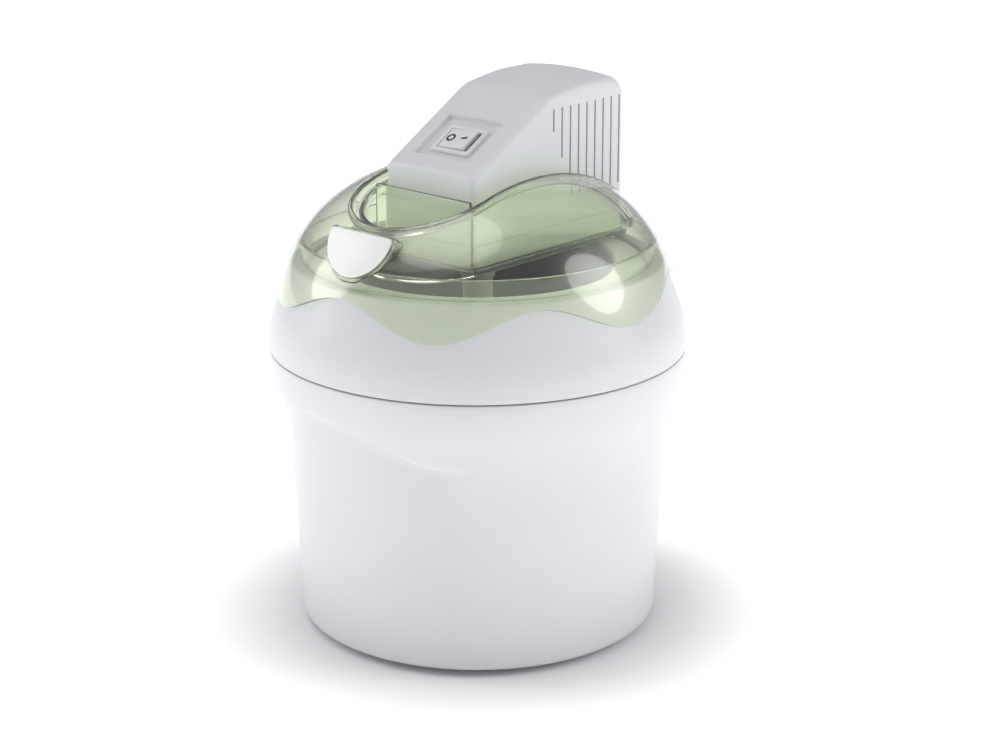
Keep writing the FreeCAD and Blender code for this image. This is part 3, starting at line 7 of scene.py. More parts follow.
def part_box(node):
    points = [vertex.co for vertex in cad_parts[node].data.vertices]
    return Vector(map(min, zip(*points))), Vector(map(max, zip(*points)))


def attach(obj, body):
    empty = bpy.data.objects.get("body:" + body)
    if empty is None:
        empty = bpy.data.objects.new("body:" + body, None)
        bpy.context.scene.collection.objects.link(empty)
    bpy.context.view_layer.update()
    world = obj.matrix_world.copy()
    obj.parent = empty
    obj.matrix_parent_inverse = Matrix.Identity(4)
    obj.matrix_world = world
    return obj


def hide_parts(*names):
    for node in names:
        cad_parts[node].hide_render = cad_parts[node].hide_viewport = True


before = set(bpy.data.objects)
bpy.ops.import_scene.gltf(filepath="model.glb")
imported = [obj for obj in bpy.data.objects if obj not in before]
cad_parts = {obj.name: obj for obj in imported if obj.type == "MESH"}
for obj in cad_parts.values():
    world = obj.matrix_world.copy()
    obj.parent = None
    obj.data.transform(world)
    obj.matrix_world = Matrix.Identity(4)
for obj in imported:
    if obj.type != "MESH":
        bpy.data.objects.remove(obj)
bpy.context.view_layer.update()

# Shapes are drawn in millimetres and scaled to metres when they become objects.
mm = 0.001


def nodeBox(name):
    low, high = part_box(name)
    return low / mm, high / mm


casingLow, casingHigh = nodeBox("lower_casing")
collarHigh = nodeBox("collar")[1]
coverLow, coverHigh = nodeBox("motor_cover")
trayLow = nodeBox("motor_base")[0]
linerLow, linerHigh = nodeBox("bowl_liner")
rimHigh = nodeBox("bowl_rim_ring")[1]
shellLow = nodeBox("bowl_shell")[0]
paddleLow, paddleHigh = nodeBox("paddle")
footHigh = nodeBox("feet")[1]
seamRadius = casingHigh.x
seamHeight = casingHigh.z + 0.4
collarTop = collarHigh.z
deck = trayLow.z
print("stage: frame loaded")


# Camera, light and floor

view = {"place": (0.7698, -0.8462, 0.4944), "aim": (0.0094, 0.0062, 0.1266), "lens": 85.2}
camera = bpy.data.objects.new("camera", bpy.data.cameras.new("camera"))
bpy.context.scene.collection.objects.link(camera)
camera.location = view["place"]
camera.rotation_mode = "QUATERNION"
camera.rotation_quaternion = (Vector(view["aim"]) - Vector(view["place"])).to_track_quat("-Z", "Y")
camera.data.lens = view["lens"]
bpy.context.scene.camera = camera


def toLinear(colour, alpha=1.0):
    parts = [int(colour[i:i + 2], 16) / 255 for i in (1, 3, 5)]
    return tuple(p / 12.92 if p <= 0.04045 else ((p + 0.055) / 1.055) ** 2.4 for p in parts) + (alpha,)


def addNode(tree, kind, settings=None, links=None):
    node = tree.nodes.new(kind)
    for name, value in (settings or {}).items():
        if isinstance(name, int) or name in node.inputs:
            node.inputs[name].default_value = value
        else:
            setattr(node, name, value)
    for name, source in (links or {}).items():
        tree.links.new(source, node.inputs[name])
    return node


studio = {
    "world": ("#FBFBFF", 0.40),
    "lights": [
        # name, place, aim, width, height, watts
        ("leftSoftbox", (-1.5, -0.9, 1.0), (0, 0, 0.13), 1.0, 1.3, 7.5),
        ("rightSoftbox", (1.3, 0.9, 1.1), (0, 0, 0.15), 1.0, 1.3, 9.0),
        ("topSoftbox", (-0.2, -0.3, 1.7), (0, 0, 0.1), 1.3, 1.3, 6.0),
    ],
}
world = bpy.data.worlds.new("studio")
world.use_nodes = True
world.node_tree.nodes["Background"].inputs["Color"].default_value = toLinear(studio["world"][0])
world.node_tree.nodes["Background"].inputs["Strength"].default_value = studio["world"][1]
bpy.context.scene.world = world
bpy.context.scene.view_settings.view_transform = "Standard"
for name, place, aim, width, height, watts in studio["lights"]:
    lamp = bpy.data.lights.new(name, "AREA")
    lamp.shape, lamp.size, lamp.size_y, lamp.energy = "ELLIPSE", width, height, watts
    holder = bpy.data.objects.new(name, lamp)
    holder.location = place
    holder.rotation_mode = "QUATERNION"
    holder.rotation_quaternion = (Vector(aim) - Vector(place)).to_track_quat("-Z", "Y")
    bpy.context.scene.collection.objects.link(holder)


# Mesh helpers

def meshObject(name, mesh):
    bmesh.ops.scale(mesh, vec=(mm, mm, mm), verts=mesh.verts)
    data = bpy.data.meshes.new(name)
    mesh.to_mesh(data)
    mesh.free()
    piece = bpy.data.objects.new(name, data)
    bpy.context.scene.collection.objects.link(piece)
    return piece


def addRings(mesh, rings, closedRings=True, closedRows=False, caps=(False, False)):
    # quads between rings of points with the same count
    rows = [[mesh.verts.new(point) for point in ring] for ring in rings]
    pairs = list(zip(rows, rows[1:])) + ([(rows[-1], rows[0])] if closedRows else [])
    faces = []
    for low, high in pairs:
        for i in range(len(low) if closedRings else len(low) - 1):
            j = (i + 1) % len(low)
            faces.append(mesh.faces.new((low[i], low[j], high[j], high[i])))
    if caps[0]:
        faces.append(mesh.faces.new(rows[0][::-1]))
    if caps[1]:
        faces.append(mesh.faces.new(rows[-1]))
    bmesh.ops.recalc_face_normals(mesh, faces=faces)


def arc(start, end, radius, steps=12):
    # points between two (x, y) ends; a positive radius bulges to the right of the path
    start, end = Vector(start), Vector(end)
    chord = end - start
    side = Vector((chord.y, -chord.x)).normalized() * math.copysign(1, radius)
    centre = (start + end) / 2 - side * math.sqrt(radius ** 2 - (chord.length / 2) ** 2)
    turn = (start - centre).angle_signed(end - centre)
    return [tuple(centre + Matrix.Rotation(-turn * k / steps, 2) @ (start - centre)) for k in range(1, steps)]


def rounded(points, steps=5):
    # each (x, y, radius) corner becomes an arc; plain (x, y) points stay
    outline = []
    for i, point in enumerate(points):
        here = Vector(point[:2])
        before = Vector(points[i - 1][:2]) - here
        after = Vector(points[(i + 1) % len(points)][:2]) - here
        if len(point) < 3:
            outline.append(tuple(here))
            continue
        angle = before.angle(after)
        reach = min(point[2] / math.tan(angle / 2), 0.49 * before.length, 0.49 * after.length)
        radius = reach * math.tan(angle / 2)
        centre = here + (before.normalized() + after.normalized()).normalized() * radius / math.sin(angle / 2)
        start = here + before.normalized() * reach - centre
        turn = start.angle_signed(here + after.normalized() * reach - centre)
        outline += [tuple(centre + Matrix.Rotation(-turn * k / steps, 2) @ start) for k in range(steps + 1)]
    return outline


def inset(outline, distance):
    # move a smooth closed outline inwards, whichever way it runs
    points = [Vector(p) for p in outline]
    area = sum(a.x * b.y - b.x * a.y for a, b in zip(points, points[1:] + points[:1]))
    sign = 1 if area > 0 else -1
    moved = []
    for i, point in enumerate(points):
        one = (point - points[i - 1]).normalized()
        two = (points[(i + 1) % len(points)] - point).normalized()
        across = Vector((-(one + two).y, (one + two).x)).normalized() * sign
        lean = max(0.35, abs(across.dot(Vector((-one.y, one.x)))))
        moved.append(tuple(point + across * distance / lean))
    return moved


def addTurned(mesh, outline, steps=192, closed=True, square=None):
    # turn (radius, height) points about Z; square gives the points that follow a square hole
    rings = []
    for i, (radius, height) in enumerate(outline):
        ring = []
        for k in range(steps):
            angle = 2 * math.pi * k / steps
            reach = radius
            if square and i in square:
                reach = radius / max(abs(math.cos(angle)), abs(math.sin(angle)))
            ring.append((reach * math.cos(angle), reach * math.sin(angle), height))
        rings.append(ring)
    addRings(mesh, rings, closedRows=closed, caps=(not closed, not closed))


def addSlab(mesh, outline, low, high, edge, place=Matrix.Identity(4)):
    # flat piece with rounded edges, drawn in its own plane and put in place
    levels = []
    for k in range(5):
        angle = math.radians(22.5 * k)
        levels.append((edge * (1 - math.sin(angle)), low + edge * (1 - math.cos(angle))))
    levels += [(d, high - (z - low)) for d, z in levels[::-1]]
    rings = [[place @ Vector((x, y, z)) for x, y in inset(outline, d)] for d, z in levels]
    addRings(mesh, rings, caps=(True, True))


def rectangle(width, height, corner, centre=(0, 0)):
    x, y = centre
    return rounded([(x - width / 2, y - height / 2, corner), (x + width / 2, y - height / 2, corner),
                    (x + width / 2, y + height / 2, corner), (x - width / 2, y + height / 2, corner)])


def circle(radius, centre=(0, 0), steps=32):
    return [(centre[0] + radius * math.cos(2 * math.pi * k / steps),
             centre[1] + radius * math.sin(2 * math.pi * k / steps)) for k in range(steps)]


def applied(piece, kind, settings):
    modifier = piece.modifiers.new(kind.title(), kind)
    for key, value in settings.items():
        setattr(modifier, key, value)
    result = bpy.data.meshes.new_from_object(piece.evaluated_get(bpy.context.evaluated_depsgraph_get()))
    piece.modifiers.clear()
    piece.data = result
    return piece


def cutBy(piece, cutters):
    tool = meshObject("cutter", cutters)
    applied(piece, "BOOLEAN", {"operation": "DIFFERENCE", "solver": "EXACT", "object": tool})
    bpy.data.objects.remove(tool)
    return piece


def finishPiece(piece, body, material, stands=(), sharp=35):
    for polygon in piece.data.polygons:
        polygon.use_smooth = True
    piece.data.set_sharp_from_angle(angle=math.radians(sharp))
    piece.data.materials.clear()
    piece.data.materials.append(material)
    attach(piece, body)
    if stands:
        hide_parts(*stands)
    return piece


def tableValue(table, x):
    # straight steps through (x, y) pairs sorted by x
    if x <= table[0][0]:
        return table[0][1]
    for (x0, y0), (x1, y1) in zip(table, table[1:]):
        if x <= x1:
            return y0 + (y1 - y0) * (x - x0) / (x1 - x0)
    return table[-1][1]


def eased(t):
    t = min(max(t, 0.0), 1.0)
    return t * t * (3 - 2 * t)


# Materials

def surface(name, settings):
    # one procedural finish: colour drift, uneven gloss and a fine relief, all scaled from real sizes
    material = bpy.data.materials.new(name)
    material.use_nodes = True
    tree = material.node_tree
    shader = tree.nodes["Principled BSDF"]
    for key, value in settings.get("shader", {}).items():
        shader.inputs[key].default_value = value
    place = addNode(tree, "ShaderNodeTexCoord").outputs["Object"]
    if "stretch" in settings:
        place = addNode(tree, "ShaderNodeMapping", {"Scale": settings["stretch"]},
                        {"Vector": place}).outputs[0]
    grain = addNode(tree, "ShaderNodeTexNoise", {"Scale": 1 / (settings["grain"] * mm), "Detail": 3.0},
                    {"Vector": place}).outputs["Fac"]
    drift = addNode(tree, "ShaderNodeTexNoise", {"Scale": 1 / (settings.get("drift", 40) * mm),
                                                 "Detail": 2.0},
                    {"Vector": place}).outputs["Fac"]
    colours = addNode(tree, "ShaderNodeMix", {"data_type": "RGBA"})
    colours.inputs[6].default_value = toLinear(settings["colours"][0])
    colours.inputs[7].default_value = toLinear(settings["colours"][1])
    tree.links.new(drift, colours.inputs[0])
    tree.links.new(colours.outputs[2], shader.inputs["Base Color"])
    low, high = settings["roughness"]
    gloss = addNode(tree, "ShaderNodeMapRange", {"From Min": 0.3, "From Max": 0.7, "To Min": low,
                                                 "To Max": high},
                    {"Value": grain})
    tree.links.new(gloss.outputs[0], shader.inputs["Roughness"])
    bump = addNode(tree, "ShaderNodeBump", {"Strength": settings["relief"][0],
                                            "Distance": settings["relief"][1] * mm},
                   {"Height": grain})
    tree.links.new(bump.outputs[0], shader.inputs["Normal"])
    return material


finishes = {
    # moulded ABS: satin white with a faint grain from the tool, soft broad highlights
    "whiteAbs": {"colours": ("#DEDEE3", "#E2E2E6"), "roughness": (0.30, 0.38), "grain": 0.5,
                 "relief": (0.10, 0.02),
                 "shader": {"IOR": 1.54, "Subsurface Weight": 0.05, "Subsurface Scale": 0.002}},
    # the motor housing's ABS has a finer, slightly duller grain
    "housingAbs": {"colours": ("#DADAE0", "#DFDFE4"), "roughness": (0.32, 0.42), "grain": 0.4,
                   "relief": (0.12, 0.02),
                   "shader": {"IOR": 1.54}},
    # white plate behind the lid's lip: glossy, its colour set whiter than the casing, partly the plate's own
    # white and partly a painted sheen of the softbox it faces
    # painted sheen: the lighter colour stands in part for the softbox reflected in the flat plate
    "plateWhiteAndPaintedSheen": {"colours": ("#F4F7F3", "#F8FAF7"), "roughness": (0.16, 0.22), "grain": 0.8,
                    "relief": (0.04, 0.02),
                    "shader": {"IOR": 1.54}},
    # spun aluminium: soft rings around the axis and a bright vertical streak
    "spunAluminium": {"colours": ("#7A7B77", "#6A6B67"), "roughness": (0.28, 0.42), "grain": 0.9, "drift": 12,
                      "stretch": (0.06, 0.06, 1.0), "relief": (0.25, 0.03), "shader": {"Metallic": 1.0}},
    # natural white polypropylene: waxy, a little see-through
    "polypropylene": {"colours": ("#DCDDD6", "#E3E4DE"), "roughness": (0.38, 0.48), "grain": 0.7,
                      "relief": (0.08, 0.02),
                      "shader": {"IOR": 1.49, "Subsurface Weight": 0.15, "Subsurface Scale": 0.003}},
    # frozen coolant behind the walls: cool blue and glossy
    "coolantGel": {"colours": ("#6E9CC4", "#82AED0"), "roughness": (0.15, 0.25), "grain": 6,
                   "relief": (0.10, 0.2),
                   "shader": {"IOR": 1.36}},
    # nitrile foot rubber: dull and dark, with moulding specks
    "footRubber": {"colours": ("#3A3A3C", "#464648"), "roughness": (0.70, 0.85), "grain": 0.6,
                   "relief": (0.30, 0.05),
                   "shader": {"IOR": 1.52}},
    # silicone lip seal: soft grey-white, no sharp highlight
    "siliconeSeal": {"colours": ("#C9CBC6", "#D2D4CF"), "roughness": (0.50, 0.62), "grain": 0.8,
                     "relief": (0.10, 0.03),
                     "shader": {"IOR": 1.43}},
    # zinc-plated screw steel: bluish and finely scratched
    "zincSteel": {"colours": ("#9EA3A8", "#B4B8BC"), "roughness": (0.22, 0.38), "grain": 0.3, "drift": 3,
                  "relief": (0.20, 0.01), "shader": {"Metallic": 1.0}},
    # ground shaft steel: tight rings of polish
    "groundSteel": {"colours": ("#A6A7A9", "#B6B7B8"), "roughness": (0.16, 0.28), "grain": 0.25, "drift": 5,
                    "stretch": (0.1, 0.1, 1.0), "relief": (0.15, 0.01), "shader": {"Metallic": 1.0}},
    # galvanised sheet: dull spangle a few millimetres wide
    "galvanisedSheet": {"colours": ("#94989A", "#AEB2B4"), "roughness": (0.35, 0.50), "grain": 4, "drift": 6,
                        "relief": (0.08, 0.02), "shader": {"Metallic": 1.0}},
    # drawn steel motor can: long draw marks up the wall
    "drawnSteel": {"colours": ("#8F9294", "#A2A5A7"), "roughness": (0.30, 0.45), "grain": 0.5, "drift": 10,
                   "stretch": (1.0, 1.0, 0.08), "relief": (0.20, 0.02), "shader": {"Metallic": 1.0}},
    # acetal gears: creamy, slippery sheen
    "acetal": {"colours": ("#E6E2D2", "#EEEADC"), "roughness": (0.30, 0.38), "grain": 0.6,
               "relief": (0.05, 0.01),
               "shader": {"IOR": 1.48}},
    # sintered bronze: warm and matt with open pores
    "sinteredBronze": {"colours": ("#A0703A", "#B98A50"), "roughness": (0.45, 0.60), "grain": 0.2,
                       "drift": 1.5,
                       "relief": (0.35, 0.02), "shader": {"Metallic": 1.0}},
    # enamelled copper: orange-brown, lacquered
    "lacqueredCopper": {"colours": ("#B5653A", "#C97B4B"), "roughness": (0.20, 0.32), "grain": 0.4,
                        "drift": 2,
                        "relief": (0.20, 0.05), "shader": {"Metallic": 1.0}},
    # pressed ferrite: charcoal, gritty
    "ferrite": {"colours": ("#2E2F31", "#3A3B3D"), "roughness": (0.60, 0.75), "grain": 0.3,
                "relief": (0.30, 0.03),
                "shader": {"IOR": 1.6}},
    # stacked core laminations: thin bright and dark layers
    "laminatedCore": {"colours": ("#5D6063", "#7C7F82"), "roughness": (0.35, 0.50), "grain": 0.7,
                      "drift": 0.8,
                      "stretch": (0.1, 0.1, 1.0), "relief": (0.30, 0.05), "shader": {"Metallic": 1.0}},
    # black glass-filled nylon: dark satin with faint fibre marks
    "blackNylon": {"colours": ("#202123", "#2A2B2D"), "roughness": (0.45, 0.60), "grain": 0.5,
                   "relief": (0.20, 0.03),
                   "shader": {"IOR": 1.53}},
    # switch nylon: brighter and smoother than the housing
    "switchNylon": {"colours": ("#E3E3E6", "#E8E8EA"), "roughness": (0.24, 0.32), "grain": 0.5,
                    "relief": (0.06, 0.01),
                    "shader": {"IOR": 1.53}},
    # pad-printed ink of the switch marks: flat black, slightly raised
    "padInk": {"colours": ("#0A0A0A", "#121212"), "roughness": (0.50, 0.60), "grain": 0.3,
               "relief": (0.10, 0.01),
               "shader": {"IOR": 1.5}},
    # glass-epoxy board: green with a woven look
    "epoxyBoard": {"colours": ("#2F5B3C", "#3B6C49"), "roughness": (0.30, 0.42), "grain": 0.8, "drift": 3,
                   "relief": (0.12, 0.03), "shader": {"IOR": 1.55}},
    # dipped film capacitor: glossy ochre box
    "dippedFilm": {"colours": ("#B98A2B", "#C99A38"), "roughness": (0.20, 0.30), "grain": 1.5,
                   "relief": (0.08, 0.05),
                   "shader": {"IOR": 1.55}},
}
made = {name: surface(name, settings) for name, settings in finishes.items()}

# styrene-acrylonitrile, moulded clear green: nearly clear face on, greener where the wall is seen
# edge on, with a glossy skin that catches the lamps
lidTint = {"face": "#FAFEF4", "edge": "#CBD8BE", "bend": 0.5, "power": 3.0, "gloss": 0.03, "glossCoat": 0.22,
           "grain": 14}


def clearGreen(name, settings):
    material = bpy.data.materials.new(name)
    material.use_nodes = True
    tree = material.node_tree
    glass = tree.nodes["Principled BSDF"]
    for key, value in {"Transmission Weight": 1.0, "IOR": 1.42, "Roughness": settings["gloss"],
                       "Specular IOR Level": 0.25, "Coat Weight": 1.0,
                       "Coat Roughness": settings["glossCoat"]}.items():
        glass.inputs[key].default_value = value
    place = addNode(tree, "ShaderNodeTexCoord").outputs["Object"]
    flow = addNode(tree, "ShaderNodeTexNoise", {"Scale": 1 / (settings["grain"] * mm), "Detail": 1.0},
                   {"Vector": place}).outputs["Fac"]
    bump = addNode(tree, "ShaderNodeBump", {"Strength": 0.05, "Distance": 0.4 * mm}, {"Height": flow})
    facing = addNode(tree, "ShaderNodeLayerWeight", {"Blend": settings["bend"]}).outputs["Facing"]
    rim = addNode(tree, "ShaderNodeMath", {"operation": "POWER", 1: settings["power"]}, {0: facing})
    tint = addNode(tree, "ShaderNodeMix", {"data_type": "RGBA"})
    tint.inputs[6].default_value = toLinear(settings["face"])
    tint.inputs[7].default_value = toLinear(settings["edge"])
    tree.links.new(rim.outputs[0], tint.inputs[0])
    tree.links.new(tint.outputs[2], glass.inputs["Base Color"])
    tree.links.new(bump.outputs[0], glass.inputs["Normal"])
    # lamps shine through the wall as they do through thin clear plastic
    window = addNode(tree, "ShaderNodeBsdfTransparent", links={"Color": tint.outputs[2]})
    rays = addNode(tree, "ShaderNodeLightPath").outputs
    lighting = addNode(tree, "ShaderNodeMath", {"operation": "MAXIMUM"},
                       {0: rays["Is Shadow Ray"], 1: rays["Is Diffuse Ray"]})
    mix = addNode(tree, "ShaderNodeMixShader", links={0: lighting.outputs[0], 1: glass.outputs[0],
                                                      2: window.outputs[0]})
    tree.links.new(mix.outputs[0], tree.nodes["Material Output"].inputs["Surface"])
    return material


clearLid = clearGreen("clearGreenSan", lidTint)

floorMesh = bmesh.new()
addRings(floorMesh, [[(-40000, -40000, 0), (40000, -40000, 0)], [(-40000, 40000, 0), (40000, 40000, 0)]],
         closedRings=False)
floor = meshObject("floor", floorMesh)
# floor that glows by itself: pure white emission further out, fading to none near the base as a painted
# contact shadow
board = {"near": 0.085, "far": 0.20, "glow": (0.0, 0.70)}
sheet = surface("glowingFloorPaintedShadow", {
    "colours": ("#FAFAFA", "#FCFCFC"), "roughness": (0.75, 0.85), "grain": 2, "relief": (0.02, 0.02)})
place = addNode(sheet.node_tree, "ShaderNodeTexCoord").outputs["Object"]
reach = addNode(sheet.node_tree, "ShaderNodeVectorMath", {"operation": "LENGTH"}, {0: place}).outputs["Value"]
# painted shadow: the floor's glow is taken away close to the object, so the floor darkens around its base
glow = addNode(sheet.node_tree, "ShaderNodeMapRange", {
    "interpolation_type": "SMOOTHSTEP", "From Min": board["near"], "From Max": board["far"],
    "To Min": board["glow"][0], "To Max": board["glow"][1]}, {"Value": reach}).outputs[0]
sheetShader = sheet.node_tree.nodes["Principled BSDF"]
sheetShader.inputs["Emission Color"].default_value = toLinear("#FFFFFF")
sheet.node_tree.links.new(glow, sheetShader.inputs["Emission Strength"])
floor.data.materials.append(sheet)
print("stage: materials and studio")


# Base: casing, collar and feet

casing = {"bottomInset": 13.8, "bottomRound": 4.0, "waistInset": 10.3, "waistDrop": 60.6, "turnInset": 3.6,
          "turnDrop": 22.6, "hollowArc": 144.0, "roundArc": 74.1, "wall": 2.5, "floor": 3.0, "lip": 0.5,
          "gripAngles": (-7, 173), "gripDrop": 19.1, "gripArc": 92.0, "gripHalf": 42.0,
          "gripShoulderArc": 56.0,
          "gripShoulder": (72.0, 35.3), "gripSpread": 4.0, "gripTail": 4.0, "gripFade": 14.0, "gripEdge": 1.6,
          "gripCover": 1.5, "steps": 480}
waist = (seamRadius - casing["waistInset"], seamHeight - casing["waistDrop"])
turn = (seamRadius - casing["turnInset"], seamHeight - casing["turnDrop"])
bottomRadius = seamRadius - casing["bottomInset"]
slope = (waist[0] - bottomRadius) / (waist[1] - casingLow.z - casing["bottomRound"])
flare = [waist, *arc(waist, turn, -casing["hollowArc"], 16), turn,
         *arc(turn, (seamRadius, casingHigh.z), casing["roundArc"], 12), (seamRadius, casingHigh.z)]
flareTable = [(z, r) for r, z in flare]


def coneRadius(z):
    return waist[0] + slope * (z - waist[1])


crown = seamHeight - casing["gripDrop"]
archEnd = (casing["gripHalf"],
           crown - casing["gripArc"] + math.sqrt(casing["gripArc"] ** 2 - casing["gripHalf"] ** 2))
archFoot = (casing["gripShoulder"][0], seamHeight - casing["gripShoulder"][1])
arch = [(0, crown), *arc((0, crown), archEnd, -casing["gripArc"], 16), archEnd,
        *arc(archEnd, archFoot, casing["gripShoulderArc"], 10), archFoot,
        (archFoot[0] + casing["gripSpread"], waist[1] + casing["gripTail"])]


def gripAt(angle):
    # height of the arch over this direction, and how much of its depth is left there
    for middle in casing["gripAngles"]:
        turned = math.radians(angle - middle)
        across = abs(coneRadius(turn[1]) * math.sin(turned))
        if math.cos(turned) > 0 and across < arch[-1][0]:
            fade = eased((across - archFoot[0] + casing["gripFade"]) / casing["gripFade"])
            return tableValue(arch, across), 1 - fade
    return arch[-1][1], 1.0


def casingColumn(angle):
    # outer and inner wall over one direction, from the middle of the underside round to the middle inside
    column = [(1.0, casingLow.z), (bottomRadius - casing["bottomRound"], casingLow.z)]
    column += arc((bottomRadius - casing["bottomRound"], casingLow.z),
                  (bottomRadius, casingLow.z + casing["bottomRound"]), casing["bottomRound"], 6)
    top, depth = gripAt(angle)
    edge = casing["gripEdge"]
    base = casingLow.z + casing["bottomRound"]
    heights = [base + (top - edge - base) * k / 24 for k in range(25)]
    heights += [top - edge + 2 * edge * k / 8 for k in range(1, 9)]
    heights += [top + edge + (casingHigh.z - casing["lip"] - top - edge) * k / 20 for k in range(1, 21)]
    for z in heights:
        cone = coneRadius(z)
        share = 1 - depth * (1 - eased((z - top + edge) / (2 * edge)))
        column.append((cone if z < waist[1] else cone + (tableValue(flareTable, z) - cone) * share, z))
    column += [(seamRadius - 0.15, casingHigh.z - 0.12), (seamRadius - casing["lip"], casingHigh.z)]
    inner = seamRadius - casing["wall"]
    column += [(inner + 0.2, casingHigh.z), (inner, casingHigh.z - 0.3), (inner - 0.3, casingHigh.z - 9),
               (coneRadius(crown) - casing["wall"], crown + casing["gripCover"]),
               (waist[0] - casing["wall"], waist[1]),
               (bottomRadius - casing["wall"], base + 3), (bottomRadius - casing["wall"] - 3,
                                                           casingLow.z + casing["floor"]),
               (1.0, casingLow.z + casing["floor"])]
    return column


columns = []
for k in range(casing["steps"]):
    angle = 360 * k / casing["steps"]
    direction = Vector((math.sin(math.radians(angle)), -math.cos(math.radians(angle)), 0))
    columns.append([direction * r + Vector((0, 0, z)) for r, z in casingColumn(angle)])
mesh = bmesh.new()
addRings(mesh, [[column[i] for column in columns] for i in range(len(columns[0]))], caps=(True, True))
seat = {"radius": 73.5, "wall": 3.0, "height": 20.0, "ribs": 6}
floorTop = casingLow.z + casing["floor"]
addTurned(mesh, rounded([(seat["radius"], floorTop - 0.5), (seat["radius"] + seat["wall"], floorTop - 0.5),
                         (seat["radius"] + seat["wall"], floorTop + seat["height"], 0.6),
                         (seat["radius"], floorTop + seat["height"], 0.6)]))
for k in range(seat["ribs"]):
    turned = Matrix.Rotation(2 * math.pi * (k + 0.5) / seat["ribs"], 4, "Z")
    start, end = seat["radius"] + 1, bottomRadius - casing["wall"] + 0.5
    addSlab(mesh, rectangle(end - start, seat["wall"] * 0.8, 0.3, ((start + end) / 2, 0)), floorTop - 0.5,
            floorTop + seat["height"] - 1, 0.3, turned)
finishPiece(meshObject("lowerCasing", mesh), "base", made["whiteAbs"], ["lower_casing"])

collar = {"shoulderInset": 3.2, "shoulderRise": 20.9, "arc": 58.0, "topInset": 12.3, "wall": 2.6,
          "opening": 20.9,
          "lip": 6.5, "skirt": 7.0, "skirtRadius": 3.5, "skirtWall": 2.4}
bottom = seamHeight + 0.4
shoulder = (seamRadius - collar["shoulderInset"], seamHeight + collar["shoulderRise"])
skirt = seamRadius - collar["skirtRadius"]
inner = [(shoulder[0] - collar["wall"], shoulder[1]), (seamRadius - collar["wall"], bottom + 3)]
outline = rounded([
    (seamRadius, bottom, 0.4), (seamRadius, bottom + 1.5),
    *arc((seamRadius, bottom + 1.5), shoulder, collar["arc"], 12), shoulder,
    (seamRadius - collar["topInset"], collarTop, 2.0),
    (seamRadius - collar["opening"], collarTop, 1.6),
    (seamRadius - collar["opening"], collarTop - collar["lip"], 0.6),
    (seamRadius - collar["opening"] + collar["wall"], collarTop - collar["lip"], 0.6),
    (seamRadius - collar["opening"] + collar["wall"], collarTop - collar["wall"], 1.5),
    (seamRadius - collar["topInset"] - collar["wall"], collarTop - collar["wall"], 1.5),
    inner[0], (skirt - collar["skirtWall"], bottom + 3, 1.0),
    (skirt - collar["skirtWall"], bottom - collar["skirt"], 0.5),
    (skirt, bottom - collar["skirt"], 0.5), (skirt, bottom)])
mesh = bmesh.new()
addTurned(mesh, outline, casing["steps"])
finishPiece(meshObject("topCollar", mesh), "base", made["whiteAbs"], ["collar"])

foot = {"radius": 8.0, "inset": 19.0, "edge": 0.8, "cup": 4.5}
mesh = bmesh.new()
for k in range(4):
    reach = bottomRadius - foot["inset"]
    turned = math.radians(45 + 90 * k)
    place = Matrix.Translation((reach * math.cos(turned), reach * math.sin(turned), 0))
    addTurned(mesh, [(0.6, 0.8), (foot["cup"], 0.8), (foot["cup"] + 0.6, 0.1), (foot["cup"] + 1.0, 0),
                     (foot["radius"] - foot["edge"], 0), (foot["radius"] - 0.25, 0.25),
                     (foot["radius"], foot["edge"]),
                     (foot["radius"], footHigh.z - 4.2), (foot["radius"] - 1.0, 3.0), (3.0, 3.0),
                     (3.0, footHigh.z - 0.5),
                     (2.5, footHigh.z), (0.6, footHigh.z)], 48, closed=False)
    bmesh.ops.transform(mesh, matrix=place, verts=mesh.verts[-13 * 48:])
finishPiece(meshObject("rubberFeet", mesh), "base", made["footRubber"], ["feet"])
print("stage: base")


# Freezer bowl

bowl = {"draft": 5.0, "linerWall": 1.5, "corner": 12.0, "pivot": 5.0, "pivotHeight": 11.0}
rim = rimHigh.z - 7.0
rimRadius = rimHigh.x
linerRadius = linerHigh.x - 6.0
linerFloor = linerLow.z + bowl["linerWall"]
footRadius = rimRadius - bowl["draft"]
mesh = bmesh.new()
addTurned(mesh, [(1.0, shellLow.z), (footRadius - 6, shellLow.z),
                 *arc((footRadius - 6, shellLow.z), (footRadius, shellLow.z + 6), 6, 8),
                 (footRadius, shellLow.z + 6),
                 (rimRadius - 0.6, rim - 0.3), (rimRadius - 0.9, rim), (rimRadius - 2.3, rim),
                 (rimRadius - 2.6, rim - 0.3),
                 (footRadius - 2, shellLow.z + 6), *arc((footRadius - 2, shellLow.z + 6),
                                                        (footRadius - 6, shellLow.z + 2), -4, 6),
                 (footRadius - 6, shellLow.z + 2), (1.0, shellLow.z + 2)], closed=False)
finishPiece(meshObject("bowlShell", mesh), "freezer_bowl", made["whiteAbs"], ["bowl_shell"])
mesh = bmesh.new()
addTurned(mesh, rounded([(linerRadius, rim + 0.8), (linerRadius + 6.5, rim + 0.8),
                         (linerRadius + 6.5, rim - 3),
                         (rimRadius - 2.9, rim - 3), (rimRadius - 2.9, rim), (rimRadius, rim, 0.4),
                         (rimRadius, rimHigh.z, 2.0), (linerRadius, rimHigh.z, 3.0)]))
finishPiece(meshObject("bowlRimRing", mesh), "freezer_bowl", made["whiteAbs"],
            ["bowl_rim_ring"])
narrow = linerRadius - bowl["draft"]
wall, corner = bowl["linerWall"], bowl["corner"]
mesh = bmesh.new()
